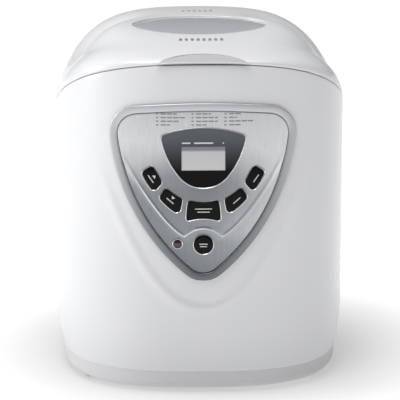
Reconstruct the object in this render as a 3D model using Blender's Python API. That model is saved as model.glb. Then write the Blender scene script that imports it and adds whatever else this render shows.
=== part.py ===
"""A household bread machine with a hinged, domed lid, a removable pan and a belt-driven kneading paddle.

Frame: +Z up, the control panel faces -Y, and +X is to the right as seen from the front.
The origin is the centre of the footprint at table height. Units are metres.
"""
import math

import bmesh
import bpy
from mathutils import Matrix, Vector

MM = 0.001

# Overall body: superellipse halves that meet at the widest plane
WIDTH = 270 * MM
FRONT_DEPTH = 157 * MM
REAR_DEPTH = 157 * MM
FRONT_ROUND = 2.78
REAR_ROUND = 2.4
HINGE_REACH = 10 * MM
WALL = 2.5 * MM
GAP = 0.3 * MM

# Heights
FOOT_HEIGHT = 4 * MM
BASE_TOP = 19.7 * MM
DECK_HEIGHT = 243 * MM
FRONT_RISE = 56.5 * MM
SEAM_SLOPE = 0.48
SEAM_BLEND = 12 * MM
LEAN_START = 153 * MM
LEAN_BACK = 8 * MM
BASE_INSET = 6 * MM

# Lid dome
CROWN_EDGE = 5.5 * MM
CROWN_RISE = 61 * MM
CROWN_FALL = 48 * MM
DOME_SIDE = 1.85
DOME_REAR = 5.0
DOME_FRONT = 4.5
LID_GAP = 0.5 * MM
LINER_LIFT = 1.0 * MM
LINER_INSET = 5 * MM
WINDOW_HALF_X = 62 * MM
WINDOW_HALF_Y = 40.5 * MM
WINDOW_AHEAD = 34 * MM
WINDOW_GROUND = 1.05
WINDOW_FADE = 0.9
WINDOW_RECESS = 1.2 * MM
WINDOW_THICKNESS = 3 * MM
SEAL_WIDTH = 3 * MM
SEAL_DEPTH = 2.5 * MM
HANDLE_HALF_CHORD = 42 * MM
HANDLE_DEPTH = 19 * MM
HANDLE_LIP = 2.5 * MM
HANDLE_EDGE = 2.0 * MM
HANDLE_SLOPE = 0.22
CEILING_DROP = 11 * MM
RECESS_SLOPE = 9 * MM
RECESS_MARGIN = 12 * MM
RECESS_ROUND = 4.0
RECESS_INSIDE_CHAMBER = 4 * MM
LINER_THICKNESS = 1.2 * MM

# Oven chamber and the spaces kept free round it
CONTROL_SPACE = 97 * MM
REAR_SPACE = 51 * MM
SIDE_SPACE = 27 * MM
CHAMBER_ROUND = 5.0
CHAMBER_WALL = 1.5 * MM
CHAMBER_FLOOR = 50 * MM
CHAMBER_LIP = 6 * MM
RIM_BELOW_DECK = 3.5 * MM
SHIELD_GAP = 5 * MM
SHIELD_WALL = 1.0 * MM
ELEMENT_RADIUS = 3.25 * MM
ELEMENT_WALL_GAP = 4.5 * MM
ELEMENT_HEIGHT = 17 * MM
ELEMENT_LEAD_SPACING = 26 * MM
PROBE_RADIUS = 4 * MM

# Pan
PAN_SIDE_CLEARANCE = 17 * MM
PAN_END_CLEARANCE = 16 * MM
PAN_ROUND = 5.5
PAN_TAPER = 7 * MM
PAN_SOFT = 9 * MM
PAN_WALL = 1.5 * MM
PAN_FLOOR = 74 * MM
PAN_BELOW_DECK = 43 * MM
PAN_RIM = 2.5 * MM
SOCKET_RADIUS = 42 * MM
SOCKET_HEIGHT = 12 * MM
SOCKET_SHEET = 1.5 * MM
SOCKET_WALL = 2.5 * MM
SEAL_RADIUS = 7 * MM
PAN_FOOT_CLEARANCE = 1.5 * MM
BAIL_WIRE = 2.2 * MM
BAIL_REACH = 56 * MM
BAIL_BEND = 22 * MM
BAIL_ABOVE_RIM = 6 * MM
LUG_PIN = 3 * MM

# Kneading drive
SHAFT_RADIUS = 4 * MM
RUNNING_CLEARANCE = 0.15 * MM
BUSH_RADIUS = 9 * MM
BUSH_FLANGE = 14 * MM
PULLEY_RADIUS = 37 * MM
MOTOR_PULLEY_RADIUS = 9 * MM
PULLEY_WIDTH = 12 * MM
PULLEY_BOTTOM = 15 * MM
BELT_WIDTH = 8 * MM
BELT_THICKNESS = 1.6 * MM
COUPLING_RADIUS = 20 * MM
MOTOR_RADIUS = 30 * MM
MOTOR_HEIGHT = 76 * MM
MOTOR_SHAFT_RADIUS = 3 * MM
MOTOR_SIDE = 50 * MM
MOTOR_FRONT_GAP = 9 * MM
FRAME_THICKNESS = 2.5 * MM
FRAME_BOTTOM = 32 * MM
PADDLE_LENGTH = 34 * MM
PADDLE_HEIGHT = 26 * MM

# Front panel, measured from the front seam downwards
PANEL_DROP = 33 * MM
PANEL_HALF_WIDTH = 82.4 * MM
PANEL_HEIGHT = 159.8 * MM
PANEL_CORNER = 25 * MM
PANEL_TIP = 24 * MM
PANEL_SIDE_ARC = 190 * MM
PANEL_TOP_ARC = 606 * MM
BEZEL_WIDTH = 6.8 * MM
BEZEL_PROUD = 3.2 * MM
FASCIA_PROUD = 2.0 * MM
PANEL_SEAT = 0.6 * MM
OPENING_MARGIN = 4.5 * MM
LENS_HALF_WIDTH = 36.8 * MM
LENS_DROP = 22.5 * MM
LENS_HEIGHT = 52.5 * MM
LENS_CORNER = 3 * MM
LENS_TIP = 27 * MM
LENS_SIDE_ARC = 75 * MM
LENS_TOP_ARC = 107 * MM
BUTTON_PROUD = 3.2 * MM
BUTTON_DEPTH = 3.0 * MM
BUTTON_CORNER = 3.0 * MM
BUTTON_FLANGE = 1.2 * MM
BUTTON_CLEARANCE = 0.4 * MM
START_RADIUS = 8.2 * MM
START_RISE = 33.2 * MM
LAMP_RADIUS = 3.6 * MM
LAMP_SIDE = 23 * MM
LAMP_RISE = 34 * MM
BOARD_SETBACK = 26 * MM
BOARD_HALF_WIDTH = 56 * MM
BOARD_HEIGHT = 104 * MM
BOARD_THICKNESS = 1.6 * MM

# Feet, screws, hinge and cord inlet
FOOT_RADIUS = 11 * MM
FOOT_ANGLE = 42
FOOT_INSET = 24 * MM
SCREW_RADIUS = 2 * MM
SCREW_LENGTH = 11 * MM
HINGE_SIDE = 40 * MM
KNUCKLE_RADIUS = 5 * MM
KNUCKLE_LENGTH = 10 * MM
PIN_RADIUS = 2 * MM
GLAND_SIDE = 62 * MM
GLAND_HEIGHT = 38 * MM
GLAND_RADIUS = 7 * MM

HALF_WIDTH = WIDTH / 2
CENTRE_Y = (FRONT_DEPTH + BEZEL_PROUD - REAR_DEPTH - HINGE_REACH) / 2
FRONT_Y = CENTRE_Y - FRONT_DEPTH
REAR_Y = CENTRE_Y + REAR_DEPTH
FRONT_TOP = DECK_HEIGHT + FRONT_RISE
COVER_BOTTOM = BASE_TOP + 0.6 * MM
TRAY_FLOOR = FOOT_HEIGHT + WALL
BODY_STEPS = 36
TURN_STEPS = 20
HOLE_STEPS = 32

CHAMBER_HALF_X = HALF_WIDTH - SIDE_SPACE
CHAMBER_FRONT = FRONT_Y + CONTROL_SPACE
CHAMBER_REAR = REAR_Y - REAR_SPACE
CHAMBER_HALF_Y = (CHAMBER_REAR - CHAMBER_FRONT) / 2
OVEN_Y = (CHAMBER_REAR + CHAMBER_FRONT) / 2
CHAMBER_TOP = DECK_HEIGHT - RIM_BELOW_DECK
PAN_TOP = DECK_HEIGHT - PAN_BELOW_DECK
PAN_HALF_X = CHAMBER_HALF_X - CHAMBER_WALL - PAN_END_CLEARANCE
PAN_HALF_Y = CHAMBER_HALF_Y - CHAMBER_WALL - PAN_SIDE_CLEARANCE
BAIL_PIVOT_Z = PAN_TOP + BAIL_ABOVE_RIM
ELEMENT_Z = CHAMBER_FLOOR + ELEMENT_HEIGHT
MOTOR_X = MOTOR_SIDE
MOTOR_Y = FRONT_Y + LEAN_BACK + WALL + MOTOR_FRONT_GAP + MOTOR_RADIUS + 8 * MM
PANEL_TOP = FRONT_TOP - PANEL_DROP
PANEL_BOTTOM = PANEL_TOP - PANEL_HEIGHT
LENS_TOP = PANEL_TOP - LENS_DROP
HINGE_Y = REAR_Y + HINGE_REACH - KNUCKLE_RADIUS
HINGE_Z = DECK_HEIGHT + LID_GAP / 2
WINDOW_Y = CENTRE_Y - WINDOW_AHEAD


# ---------------------------------------------------------------- scene and materials

def clear_scene():
    for item in list(bpy.data.objects):
        bpy.data.objects.remove(item, do_unlink=True)


def material(name, colour, roughness, metallic=0.0):
    made = bpy.data.materials.get(name)
    if made:
        return made
    made = bpy.data.materials.new(name)
    made.use_nodes = True
    shader = made.node_tree.nodes["Principled BSDF"]
    shader.inputs["Base Color"].default_value = (*colour, 1.0)
    shader.inputs["Roughness"].default_value = roughness
    shader.inputs["Metallic"].default_value = metallic
    return made


def white_plastic():
    return material("white_plastic", (0.83, 0.84, 0.85), 0.32)


def grey_plastic():
    return material("grey_plastic", (0.55, 0.56, 0.58), 0.35)


def dark_plastic():
    return material("dark_plastic", (0.06, 0.06, 0.065), 0.45)


def black_gloss():
    return material("black_gloss", (0.012, 0.012, 0.014), 0.12)


def silver_panel():
    return material("silver_panel", (0.58, 0.59, 0.61), 0.30, 0.9)


def bare_steel():
    return material("bare_steel", (0.60, 0.60, 0.60), 0.30, 1.0)


def aluminium():
    return material("aluminium", (0.72, 0.73, 0.74), 0.35, 1.0)


def bronze():
    return material("bronze", (0.60, 0.45, 0.20), 0.35, 1.0)


def coated_steel():
    return material("coated_steel", (0.10, 0.10, 0.11), 0.38, 0.5)


def rubber():
    return material("rubber", (0.035, 0.035, 0.035), 0.8)


def circuit_board():
    return material("circuit_board", (0.05, 0.20, 0.09), 0.5)


def smoked_glass():
    return material("smoked_glass", (0.42, 0.43, 0.45), 0.06)


def red_lens():
    return material("red_lens", (0.12, 0.01, 0.01), 0.15)


def place(name, mesh_maker, finish, origin=None, smooth_angle=32):
    """Turn a bmesh into a named object, with its origin on the given point."""
    bmesh.ops.recalc_face_normals(mesh_maker, faces=mesh_maker.faces)
    if mesh_maker.calc_volume(signed=True) < 0:
        bmesh.ops.reverse_faces(mesh_maker, faces=mesh_maker.faces)
    at = Vector(origin or (0, 0, 0))
    bmesh.ops.translate(mesh_maker, vec=-at, verts=mesh_maker.verts)
    mesh = bpy.data.meshes.new(name)
    mesh_maker.to_mesh(mesh)
    mesh_maker.free()
    mesh.shade_smooth()
    mesh.set_sharp_from_angle(angle=math.radians(smooth_angle))
    mesh.materials.append(finish)
    item = bpy.data.objects.new(name, mesh)
    item.location = at
    bpy.context.scene.collection.objects.link(item)
    return item


def combine(item, tool, operation):
    """Cut a shape out of an object, or join one to it; the tool stays as a hidden guide."""
    tool.hide_render = True
    tool.display_type = "WIRE"
    step = item.modifiers.new(operation.lower(), "BOOLEAN")
    step.operation = operation
    step.solver = "EXACT"
    step.object = tool


# ---------------------------------------------------------------- shape builders

def skin(work, rings, closed):
    """Join matching rings of points with quads, and close the ends unless the rings form a cycle."""
    loops = [[work.verts.new(point) for point in ring] for ring in rings]
    pairs = list(zip(loops, loops[1:]))
    if closed:
        pairs.append((loops[-1], loops[0]))
    for near, far in pairs:
        for index in range(len(near)):
            after = (index + 1) % len(near)
            work.faces.new((near[index], near[after], far[after], far[index]))
    if not closed:
        work.faces.new(loops[0])
        work.faces.new(loops[-1])


def lofted(name, rings, finish, closed=False, origin=None, smooth_angle=32):
    work = bmesh.new()
    skin(work, rings, closed)
    return place(name, work, finish, origin, smooth_angle)


def turned(name, profile, centre, finish, hollow=False, steps=TURN_STEPS):
    """Turn a profile of (radius, height) pairs round a vertical axis."""
    rings = []
    for radius, height in profile:
        rings.append([(centre[0] + radius * math.cos(math.tau * k / steps),
                       centre[1] + radius * math.sin(math.tau * k / steps), height) for k in range(steps)])
    return lofted(name, rings, finish, closed=hollow, origin=(centre[0], centre[1], profile[0][1]))


def box(name, low, high, finish):
    work = bmesh.new()
    size = [high[k] - low[k] for k in range(3)]
    middle = [(high[k] + low[k]) / 2 for k in range(3)]
    matrix = Matrix.Translation(middle) @ Matrix.Diagonal((*size, 1.0))
    bmesh.ops.create_cube(work, size=1.0, matrix=matrix)
    return place(name, work, finish)


def rod(name, start, end, radius, finish, steps=16, bore=0.0):
    """A round bar between two points, solid or with a bore along it."""
    start = Vector(start)
    end = Vector(end)
    turn = (end - start).to_track_quat("Z", "Y").to_matrix().to_4x4()
    frame = Matrix.Translation(start) @ turn
    length = (end - start).length

    def ring(size, height):
        return [frame @ Vector((size * math.cos(math.tau * k / steps),
                                size * math.sin(math.tau * k / steps), height))
                for k in range(steps)]

    rings = [ring(radius, 0), ring(radius, length)]
    if bore:
        rings += [ring(bore, length), ring(bore, 0)]
    return lofted(name, rings, finish, closed=bool(bore), origin=start)


def wire(name, route, radius, finish, resolution=2):
    """A round wire along a list of points, with closed ends."""
    curve = bpy.data.curves.new(name, "CURVE")
    curve.dimensions = "3D"
    curve.bevel_depth = radius
    curve.bevel_resolution = resolution
    curve.use_fill_caps = True
    spline = curve.splines.new("POLY")
    spline.points.add(len(route) - 1)
    for point, position in zip(spline.points, route):
        point.co = (*position, 1.0)
    curve.materials.append(finish)
    item = bpy.data.objects.new(name, curve)
    bpy.context.scene.collection.objects.link(item)
    return item


def plate_mesh(outline, holes, bottom, top):
    """A flat plate in (x, z) with holes, standing along y from bottom to top."""
    work = bmesh.new()
    edges = []
    for loop in [outline] + holes:
        verts = [work.verts.new((x, bottom, z)) for x, z in loop]
        for index, vert in enumerate(verts):
            edges.append(work.edges.new((vert, verts[(index + 1) % len(verts)])))
    bmesh.ops.triangle_fill(work, use_beauty=True, edges=edges)
    base = list(work.faces)
    raised = bmesh.ops.extrude_face_region(work, geom=base)
    moved = [part for part in raised["geom"] if isinstance(part, bmesh.types.BMVert)]
    bmesh.ops.translate(work, vec=(0, top - bottom, 0), verts=moved)
    return work


def arc(centre, radius, start, end, steps):
    return [(centre[0] + radius * math.cos(start + (end - start) * k / steps),
             centre[1] + radius * math.sin(start + (end - start) * k / steps)) for k in range(steps + 1)]


def circle(centre, radius, steps=16):
    return arc(centre, radius, 0, math.tau, steps)[:-1]


def soft_triangle(half_width, top, bottom, corner, tip, side_arc, top_arc, grow=0.0):
    """A shield outline of six tangent arcs; grow offsets every arc outwards by the same distance."""
    corner_x = half_width - corner
    corner_z = top - top_arc + math.sqrt((top_arc - corner) ** 2 - corner_x ** 2)
    tip_z = bottom + tip
    span = Vector((-corner_x, tip_z - corner_z))
    reach_corner = side_arc - corner
    reach_tip = side_arc - tip
    along = (reach_corner ** 2 - reach_tip ** 2 + span.length ** 2) / (2 * span.length)
    across = math.sqrt(reach_corner ** 2 - along ** 2)
    direction = span.normalized()
    side_x = corner_x + along * direction.x + across * direction.y
    side_z = corner_z + along * direction.y - across * direction.x
    top_turn = math.atan2(corner_z - (top - top_arc), corner_x)
    side_turn = math.atan2(corner_z - side_z, corner_x - side_x)
    tip_turn = math.atan2(tip_z - side_z, -side_x)
    right = []
    right += arc((0, tip_z), tip + grow, -math.pi / 2, tip_turn, 4)
    right += arc((side_x, side_z), side_arc + grow, tip_turn, side_turn, 7)[1:]
    right += arc((corner_x, corner_z), corner + grow, side_turn, top_turn, 5)[1:]
    right += arc((0, top - top_arc), top_arc + grow, top_turn, math.pi / 2, 3)[1:]
    left = [(-x, z) for x, z in reversed(right[1:-1])]
    return right + left


def rounded_polygon(corners, radius, steps=2):
    """Round each corner of a polygon with an arc tangent to both of its sides."""
    outline = []
    count = len(corners)
    for index in range(count):
        here = Vector(corners[index])
        back = (Vector(corners[index - 1]) - here).normalized()
        ahead = (Vector(corners[(index + 1) % count]) - here).normalized()
        half = back.angle(ahead) / 2
        if half > math.radians(80):
            outline.append(tuple(here))
            continue
        setback = radius / math.tan(half)
        centre = here + (back + ahead).normalized() * (radius / math.sin(half))
        first = here + back * setback - centre
        last = here + ahead * setback - centre
        for step in range(steps + 1):
            share = step / steps
            spoke = (first * (1 - share) + last * share).normalized() * radius
            outline.append(tuple(centre + spoke))
    return outline


def grown(outline, distance):
    """Offset a polygon outwards, moving each point along the bisector of its neighbouring sides."""
    count = len(outline)
    area = sum(outline[k - 1][0] * outline[k][1] - outline[k][0] * outline[k - 1][1]
               for k in range(count))
    side = 1 if area > 0 else -1
    result = []
    for index in range(count):
        here = Vector(outline[index])
        into = (here - Vector(outline[index - 1])).normalized()
        out_of = (Vector(outline[(index + 1) % count]) - here).normalized()
        normal_in = Vector((into.y, -into.x)) * side
        normal_out = Vector((out_of.y, -out_of.x)) * side
        bisector = (normal_in + normal_out).normalized()
        result.append(tuple(here + bisector * (distance / max(0.35, bisector.dot(normal_in)))))
    return result


def rounded_rectangle(half_x, half_y, exponent, centre, height, steps):
    """A superellipse ring at one height, used for the oven, the pan and what follows them."""
    ring = []
    for index in range(steps):
        turn = math.tau * index / steps
        reach = (abs(math.cos(turn) / half_x) ** exponent
                 + abs(math.sin(turn) / half_y) ** exponent) ** (-1 / exponent)
        ring.append((centre[0] + reach * math.cos(turn), centre[1] + reach * math.sin(turn), height))
    return ring


# ---------------------------------------------------------------- body form

def lean(height):
    """How far the upper front leans back at a height."""
    share = max(0.0, (height - LEAN_START) / (FRONT_TOP - LEAN_START))
    return LEAN_BACK * share * share


def body_point(turn, height, inset=0.0):
    """A point of the body's outer form, moved inwards by an inset."""
    front = math.sin(turn) < 0
    exponent = FRONT_ROUND if front else REAR_ROUND
    depth = (FRONT_DEPTH - lean(height) if front else REAR_DEPTH) - inset
    side = HALF_WIDTH - inset
    reach = (abs(math.cos(turn) / side) ** exponent
             + abs(math.sin(turn) / depth) ** exponent) ** (-1 / exponent)
    return Vector((reach * math.cos(turn), CENTRE_Y + reach * math.sin(turn), height))


def seam_height(y):
    """The lid seam: level at the back and sides, sloping up to the front edge."""
    front_top_y = FRONT_Y + LEAN_BACK
    over = FRONT_RISE - SEAM_SLOPE * (y - front_top_y)
    return DECK_HEIGHT + (over + math.sqrt(over ** 2 + SEAM_BLEND ** 2)) / 2


def seam_point(turn, inset=0.0, above=0.0):
    """The point where the body's form meets the seam surface."""
    height = DECK_HEIGHT
    for _ in range(8):
        point = body_point(turn, height, inset)
        height = seam_height(point.y)
    return Vector((point.x, point.y, height + above))


def crown_height(y):
    """The lid's highest line, front to back."""
    share = (y - FRONT_Y - LEAN_BACK) / (REAR_Y - FRONT_Y - LEAN_BACK)
    return FRONT_TOP + CROWN_EDGE + CROWN_RISE * share - CROWN_FALL * share * share


def window_flat(x, y):
    """1 over the window and a little past it, fading to 0 well outside it."""
    reach = math.hypot(x / WINDOW_HALF_X, (y - WINDOW_Y) / WINDOW_HALF_Y)
    share = min(1.0, max(0.0, (reach - WINDOW_GROUND) / WINDOW_FADE))
    return 1 - share * share * (3 - 2 * share)


def lid_height(x, y):
    """Height of the lid's outer surface above a point of the plan."""
    turn = math.atan2(y - CENTRE_Y, x)
    edge = seam_point(turn, 0, LID_GAP)
    share = min(1.0, math.hypot(x, y - CENTRE_Y) / math.hypot(edge.x, edge.y - CENTRE_Y))
    rear = max(0.0, math.sin(turn)) ** 2
    ahead = max(0.0, -math.sin(turn)) ** 4
    power = DOME_SIDE + (DOME_REAR - DOME_SIDE) * rear + (DOME_FRONT - DOME_SIDE) * ahead
    drop = 1 - (1 - share ** power) ** (1 / power)
    return crown_height(y) - (crown_height(edge.y) - edge.z) * drop * (1 - window_flat(x, y))


def front_point(x, z, proud=0.0):
    """A point on, or proud of, the curved front of the body."""
    def surface(px, pz):
        share = min(0.999, abs(px) / HALF_WIDTH)
        return CENTRE_Y - (FRONT_DEPTH - lean(pz)) * (1 - share ** FRONT_ROUND) ** (1 / FRONT_ROUND)

    step = 0.5 * MM
    slope_x = (surface(x + step, z) - surface(x - step, z)) / (2 * step)
    slope_z = (surface(x, z + step) - surface(x, z - step)) / (2 * step)
    outward = Vector((slope_x, -1, slope_z)).normalized()
    return Vector((x, surface(x, z), z)) + outward * proud


def slice_plate(work, pitch_x, pitch_z):
    """Cut a standing plate along a grid of planes, so that it can bend smoothly."""
    for axis, pitch in ((0, pitch_x), (2, pitch_z)):
        low = min(vert.co[axis] for vert in work.verts)
        high = max(vert.co[axis] for vert in work.verts)
        direction = Vector((0, 0, 0))
        direction[axis] = 1
        for index in range(math.ceil(low / pitch), math.floor(high / pitch) + 1):
            everything = list(work.verts) + list(work.edges) + list(work.faces)
            bmesh.ops.bisect_plane(work, geom=everything, dist=0.00002,
                                   plane_co=direction * index * pitch,
                                   plane_no=direction)


def front_piece(name, outline, finish, back, face, holes=(), spacing=24 * MM, origin=None):
    """A plate laid on the curved front: cut flat, sliced so that it can bend, then wrapped."""
    work = plate_mesh(outline, list(holes), back, face)
    slice_plate(work, spacing, spacing * 3)
    for vert in work.verts:
        vert.co = front_point(vert.co.x, vert.co.z, vert.co.y)
    return place(name, work, finish, origin)


def body_turns(start, end, steps):
    return [math.radians(start + (end - start) * k / steps) for k in range(steps + 1)]


# ---------------------------------------------------------------- body pieces

def cover(name, start, end):
    """Half of the body's wall, with an in-turned lip over the base tray."""
    levels = 5
    lip = BASE_INSET - GAP
    rings = []
    for turn in body_turns(start, end, BODY_STEPS // 2):
        outer_top = seam_point(turn, 0, -LID_GAP / 2)
        inner_top = seam_point(turn, WALL, -LID_GAP / 2)
        ring = []
        for level in range(levels):
            height = COVER_BOTTOM + (outer_top.z - COVER_BOTTOM) * level / levels
            ring.append(body_point(turn, height))
        ring += [outer_top, inner_top]
        shelf = COVER_BOTTOM + WALL
        for level in range(levels - 1, -1, -1):
            height = shelf + (inner_top.z - shelf) * level / levels
            ring.append(body_point(turn, height, WALL))
        ring.append(body_point(turn, shelf, lip))
        ring.append(body_point(turn, COVER_BOTTOM, lip))
        rings.append(ring)
    return lofted(name, rings, white_plastic())


def panel_outline(grow=0.0):
    return soft_triangle(PANEL_HALF_WIDTH, PANEL_TOP, PANEL_BOTTOM, PANEL_CORNER, PANEL_TIP,
                         PANEL_SIDE_ARC, PANEL_TOP_ARC, grow)


def make_covers():
    split = math.degrees(GAP / HALF_WIDTH)
    front = cover("front_cover", 180 + split / 2, 360 - split / 2)
    outline = panel_outline(-BEZEL_WIDTH - OPENING_MARGIN)
    window = place("panel_opening", plate_mesh(outline, [], FRONT_Y - 10 * MM, FRONT_Y + 60 * MM),
                   white_plastic())
    combine(front, window, "DIFFERENCE")
    rear = cover("rear_cover", split / 2, 180 - split / 2)
    for side in (-1, 1):
        knuckle(rear, side * (HINGE_SIDE - KNUCKLE_LENGTH / 2), side * (HINGE_SIDE
                + KNUCKLE_LENGTH / 2), -1)
    inlet = rod("cord_inlet", (GLAND_SIDE, body_wall_y(GLAND_SIDE) - 20 * MM, GLAND_HEIGHT),
                (GLAND_SIDE, body_wall_y(GLAND_SIDE) + 10 * MM,
                 GLAND_HEIGHT), GLAND_RADIUS, white_plastic())
    combine(rear, inlet, "DIFFERENCE")


def knuckle(item, near_x, far_x, level):
    """A hinge barrel on a short arm, above (level 1) or below (level -1) the hinge axis."""
    low_x, high_x = sorted((near_x, far_x))
    wall_y = body_wall_y(far_x) - 0.12 * WALL
    heights = sorted((HINGE_Z + level * 1.2 * MM, HINGE_Z + level * KNUCKLE_RADIUS))
    arm = box("hinge_arm", (low_x, wall_y, heights[0]), (high_x, HINGE_Y, heights[1]), white_plastic())
    combine(item, arm, "UNION")
    start = Vector((low_x, HINGE_Y, HINGE_Z))
    end = Vector((high_x, HINGE_Y, HINGE_Z))
    beyond = Vector((WALL, 0, 0))
    combine(item, rod("hinge_barrel", start, end, KNUCKLE_RADIUS, white_plastic()), "UNION")
    combine(item, rod("hinge_bore", start - beyond, end + beyond, PIN_RADIUS + GAP, white_plastic()),
            "DIFFERENCE")


def body_wall_y(x):
    """The rear wall's outer surface at one side position."""
    share = abs(x) / HALF_WIDTH
    return CENTRE_Y + REAR_DEPTH * (1 - share ** REAR_ROUND) ** (1 / REAR_ROUND)


def body_ring(height, inset, steps=BODY_STEPS):
    return [body_point(math.tau * k / steps, height, inset) for k in range(steps)]


def make_base():
    rim = COVER_BOTTOM + 8 * MM
    inner = BASE_INSET + WALL
    rings = [body_ring(FOOT_HEIGHT, BASE_INSET + 2 * MM), body_ring(FOOT_HEIGHT + 2 * MM, BASE_INSET),
             body_ring(rim, BASE_INSET), body_ring(rim, inner), body_ring(TRAY_FLOOR, inner)]
    tray = lofted("base_tray", rings, grey_plastic())
    for index, turn in enumerate((FOOT_ANGLE, 180 - FOOT_ANGLE, 180 + FOOT_ANGLE, 360 - FOOT_ANGLE)):
        spot = body_point(math.radians(turn), 0, FOOT_INSET)
        turned("foot_%d" % (index + 1),
               [(FOOT_RADIUS - 1 * MM, 0), (FOOT_RADIUS, 1 * MM), (FOOT_RADIUS, FOOT_HEIGHT - GAP),
                (SCREW_RADIUS + 3 * MM, FOOT_HEIGHT - GAP), (SCREW_RADIUS + 3 * MM, 0)],
               spot, rubber(), hollow=True, steps=16)
        bottom = FOOT_HEIGHT - GAP - 2.2 * MM
        turned("base_screw_%d" % (index + 1),
               [(SCREW_RADIUS + 1.6 * MM, bottom), (SCREW_RADIUS + 1.6 * MM, FOOT_HEIGHT - GAP),
                (SCREW_RADIUS, FOOT_HEIGHT - GAP), (SCREW_RADIUS, bottom + SCREW_LENGTH)],
               spot, bare_steel(), steps=12)
        hole = rod("screw_hole", (spot.x, spot.y, 0), (spot.x, spot.y, BASE_TOP), SCREW_RADIUS + GAP,
                   grey_plastic())
        combine(tray, hole, "DIFFERENCE")


def oven_ring(grow, height, steps=BODY_STEPS):
    return rounded_rectangle(CHAMBER_HALF_X + grow, CHAMBER_HALF_Y + grow, CHAMBER_ROUND, (0, OVEN_Y),
                             height, steps)


def make_top_deck():
    inset = WALL + GAP
    drop = 1.2 * MM
    opening = -CHAMBER_WALL
    collar = opening + 2 * MM
    outer = [seam_point(math.tau * k / BODY_STEPS, inset, -drop) for k in range(BODY_STEPS)]
    hole = [Vector((x, y, seam_height(y) - drop)) for x, y, z in oven_ring(opening, 0)]
    back = [Vector((x, y, seam_height(y) - drop - WALL)) for x, y, z in oven_ring(collar, 0)]
    collar_bottom = CHAMBER_TOP + GAP
    rings = [outer, ring_between(outer, hole, 0.5, -drop), hole, oven_ring(opening, collar_bottom),
             oven_ring(collar, collar_bottom), back, ring_between(outer, back, 0.5, -drop - WALL),
             [point - Vector((0, 0, WALL)) for point in outer]]
    lofted("top_deck", rings, white_plastic(), closed=True)


def ring_between(outer, inner, share, above):
    """A ring partway between two others, laid on the seam surface."""
    ring = []
    for far, near in zip(outer, inner):
        spot = far.lerp(near, share)
        ring.append(Vector((spot.x, spot.y, seam_height(spot.y) + above)))
    return ring


# ---------------------------------------------------------------- lid

def window_ring(grow, share=1.0):
    """The window's elliptical edge in plan, offset by a distance and drawn in towards its centre by a share."""
    return [Vector(((WINDOW_HALF_X + grow) * share * math.cos(math.tau * k / BODY_STEPS),
                    WINDOW_Y + (WINDOW_HALF_Y + grow) * share * math.sin(math.tau * k / BODY_STEPS), 0))
            for k in range(BODY_STEPS)]


def on_dome(ring, below):
    return [Vector((point.x, point.y, lid_height(point.x, point.y) - below)) for point in ring]


def lid_rings(shares, inset, below):
    """Rings from the window edge out to the rim, on the dome lowered by a distance."""
    inner = window_ring(0)
    rings = []
    for share in shares:
        ring = []
        for index in range(BODY_STEPS):
            turn = math.tau * index / BODY_STEPS
            edge = seam_point(turn, 0, LID_GAP)
            near = inner[index]
            spot = Vector((near.x, near.y, 0)).lerp(Vector((edge.x, edge.y, 0)), share)
            height = max(lid_height(spot.x, spot.y) - below, edge.z + GAP)
            if share == 1:
                height = edge.z
            if inset:
                closer = seam_point(turn, inset, LID_GAP)
                spot = Vector((near.x, near.y, 0)).lerp(Vector((closer.x, closer.y, 0)), share)
                height = height if share < 1 else closer.z
            ring.append(Vector((spot.x, spot.y, height)))
        rings.append(ring)
    return rings


def front_edge(x):
    """The seam's front edge at one side position."""
    turn = -math.pi / 2
    for _ in range(6):
        point = seam_point(turn)
        turn += (x - point.x) / FRONT_DEPTH
    return point


def half_moon(grow, depth_extra=0.0):
    """Plan outline of the lid handle: a shallow arc behind a straight front edge."""
    half = HANDLE_HALF_CHORD + grow
    depth = HANDLE_DEPTH + grow
    front = front_edge(0).y - HANDLE_LIP
    radius = (half ** 2 + depth ** 2) / (2 * depth)
    swing = math.asin(min(1.0, half / radius))
    centre = front + depth - radius
    back_edge = [(radius * math.sin(swing - 2 * swing * k / 18), centre + radius * math.cos(swing
            - 2 * swing * k / 18))
                 for k in range(19)]
    return back_edge + [(-half, front - depth_extra), (half, front - depth_extra)]


def make_lid():
    shares = [0, 0.35, 0.65, 0.85, 0.95, 0.985, 1]
    rings = lid_rings(shares, 0, 0) + lid_rings(shares[::-1], WALL, WALL)
    shell = lofted("lid_shell", rings, white_plastic(), closed=True)
    for side in (-1, 1):
        near_x = HINGE_SIDE + KNUCKLE_LENGTH / 2 + LID_GAP
        knuckle(shell, side * near_x, side * (near_x + KNUCKLE_LENGTH), 1)
        start = (side * (HINGE_SIDE - KNUCKLE_LENGTH / 2 - 1 * MM), HINGE_Y, HINGE_Z)
        finish = (side * (near_x + KNUCKLE_LENGTH + 1 * MM), HINGE_Y, HINGE_Z)
        rod("hinge_pin_left" if side < 0 else "hinge_pin_right", start, finish, PIN_RADIUS, bare_steel())
    make_handle(shell)
    make_window()
    make_liner()


def make_handle(shell):
    """A grey half-moon dish let into the lid's front edge, with a lip for the fingers."""
    work = bmesh.new()
    outline = half_moon(GAP, 12 * MM)
    top = FRONT_TOP + 40 * MM
    low = FRONT_TOP - 25 * MM
    skin(work, [[(x, y, low) for x, y in outline], [(x, y, top) for x, y in outline]], False)
    pocket = place("handle_pocket", work, white_plastic())
    combine(shell, pocket, "DIFFERENCE")
    work = plate_mesh(half_moon(0), [], 0, 1)
    slice_plate(work, 12 * MM, 6 * MM)
    for vert in work.verts:
        x, level, y = vert.co
        edge = front_edge(x)
        inside = max(y, edge.y + 1.5 * MM)
        back = lid_height(x, inside)
        dish = edge.z + LID_GAP + HANDLE_EDGE + (y - edge.y + HANDLE_LIP) * HANDLE_SLOPE
        top = min(back, dish)
        under = max(top - WALL, edge.z + LID_GAP + 0.4 * MM)
        vert.co = (x, y, top if level > 0.5 else under)
    place("lid_handle", work, grey_plastic())


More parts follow.
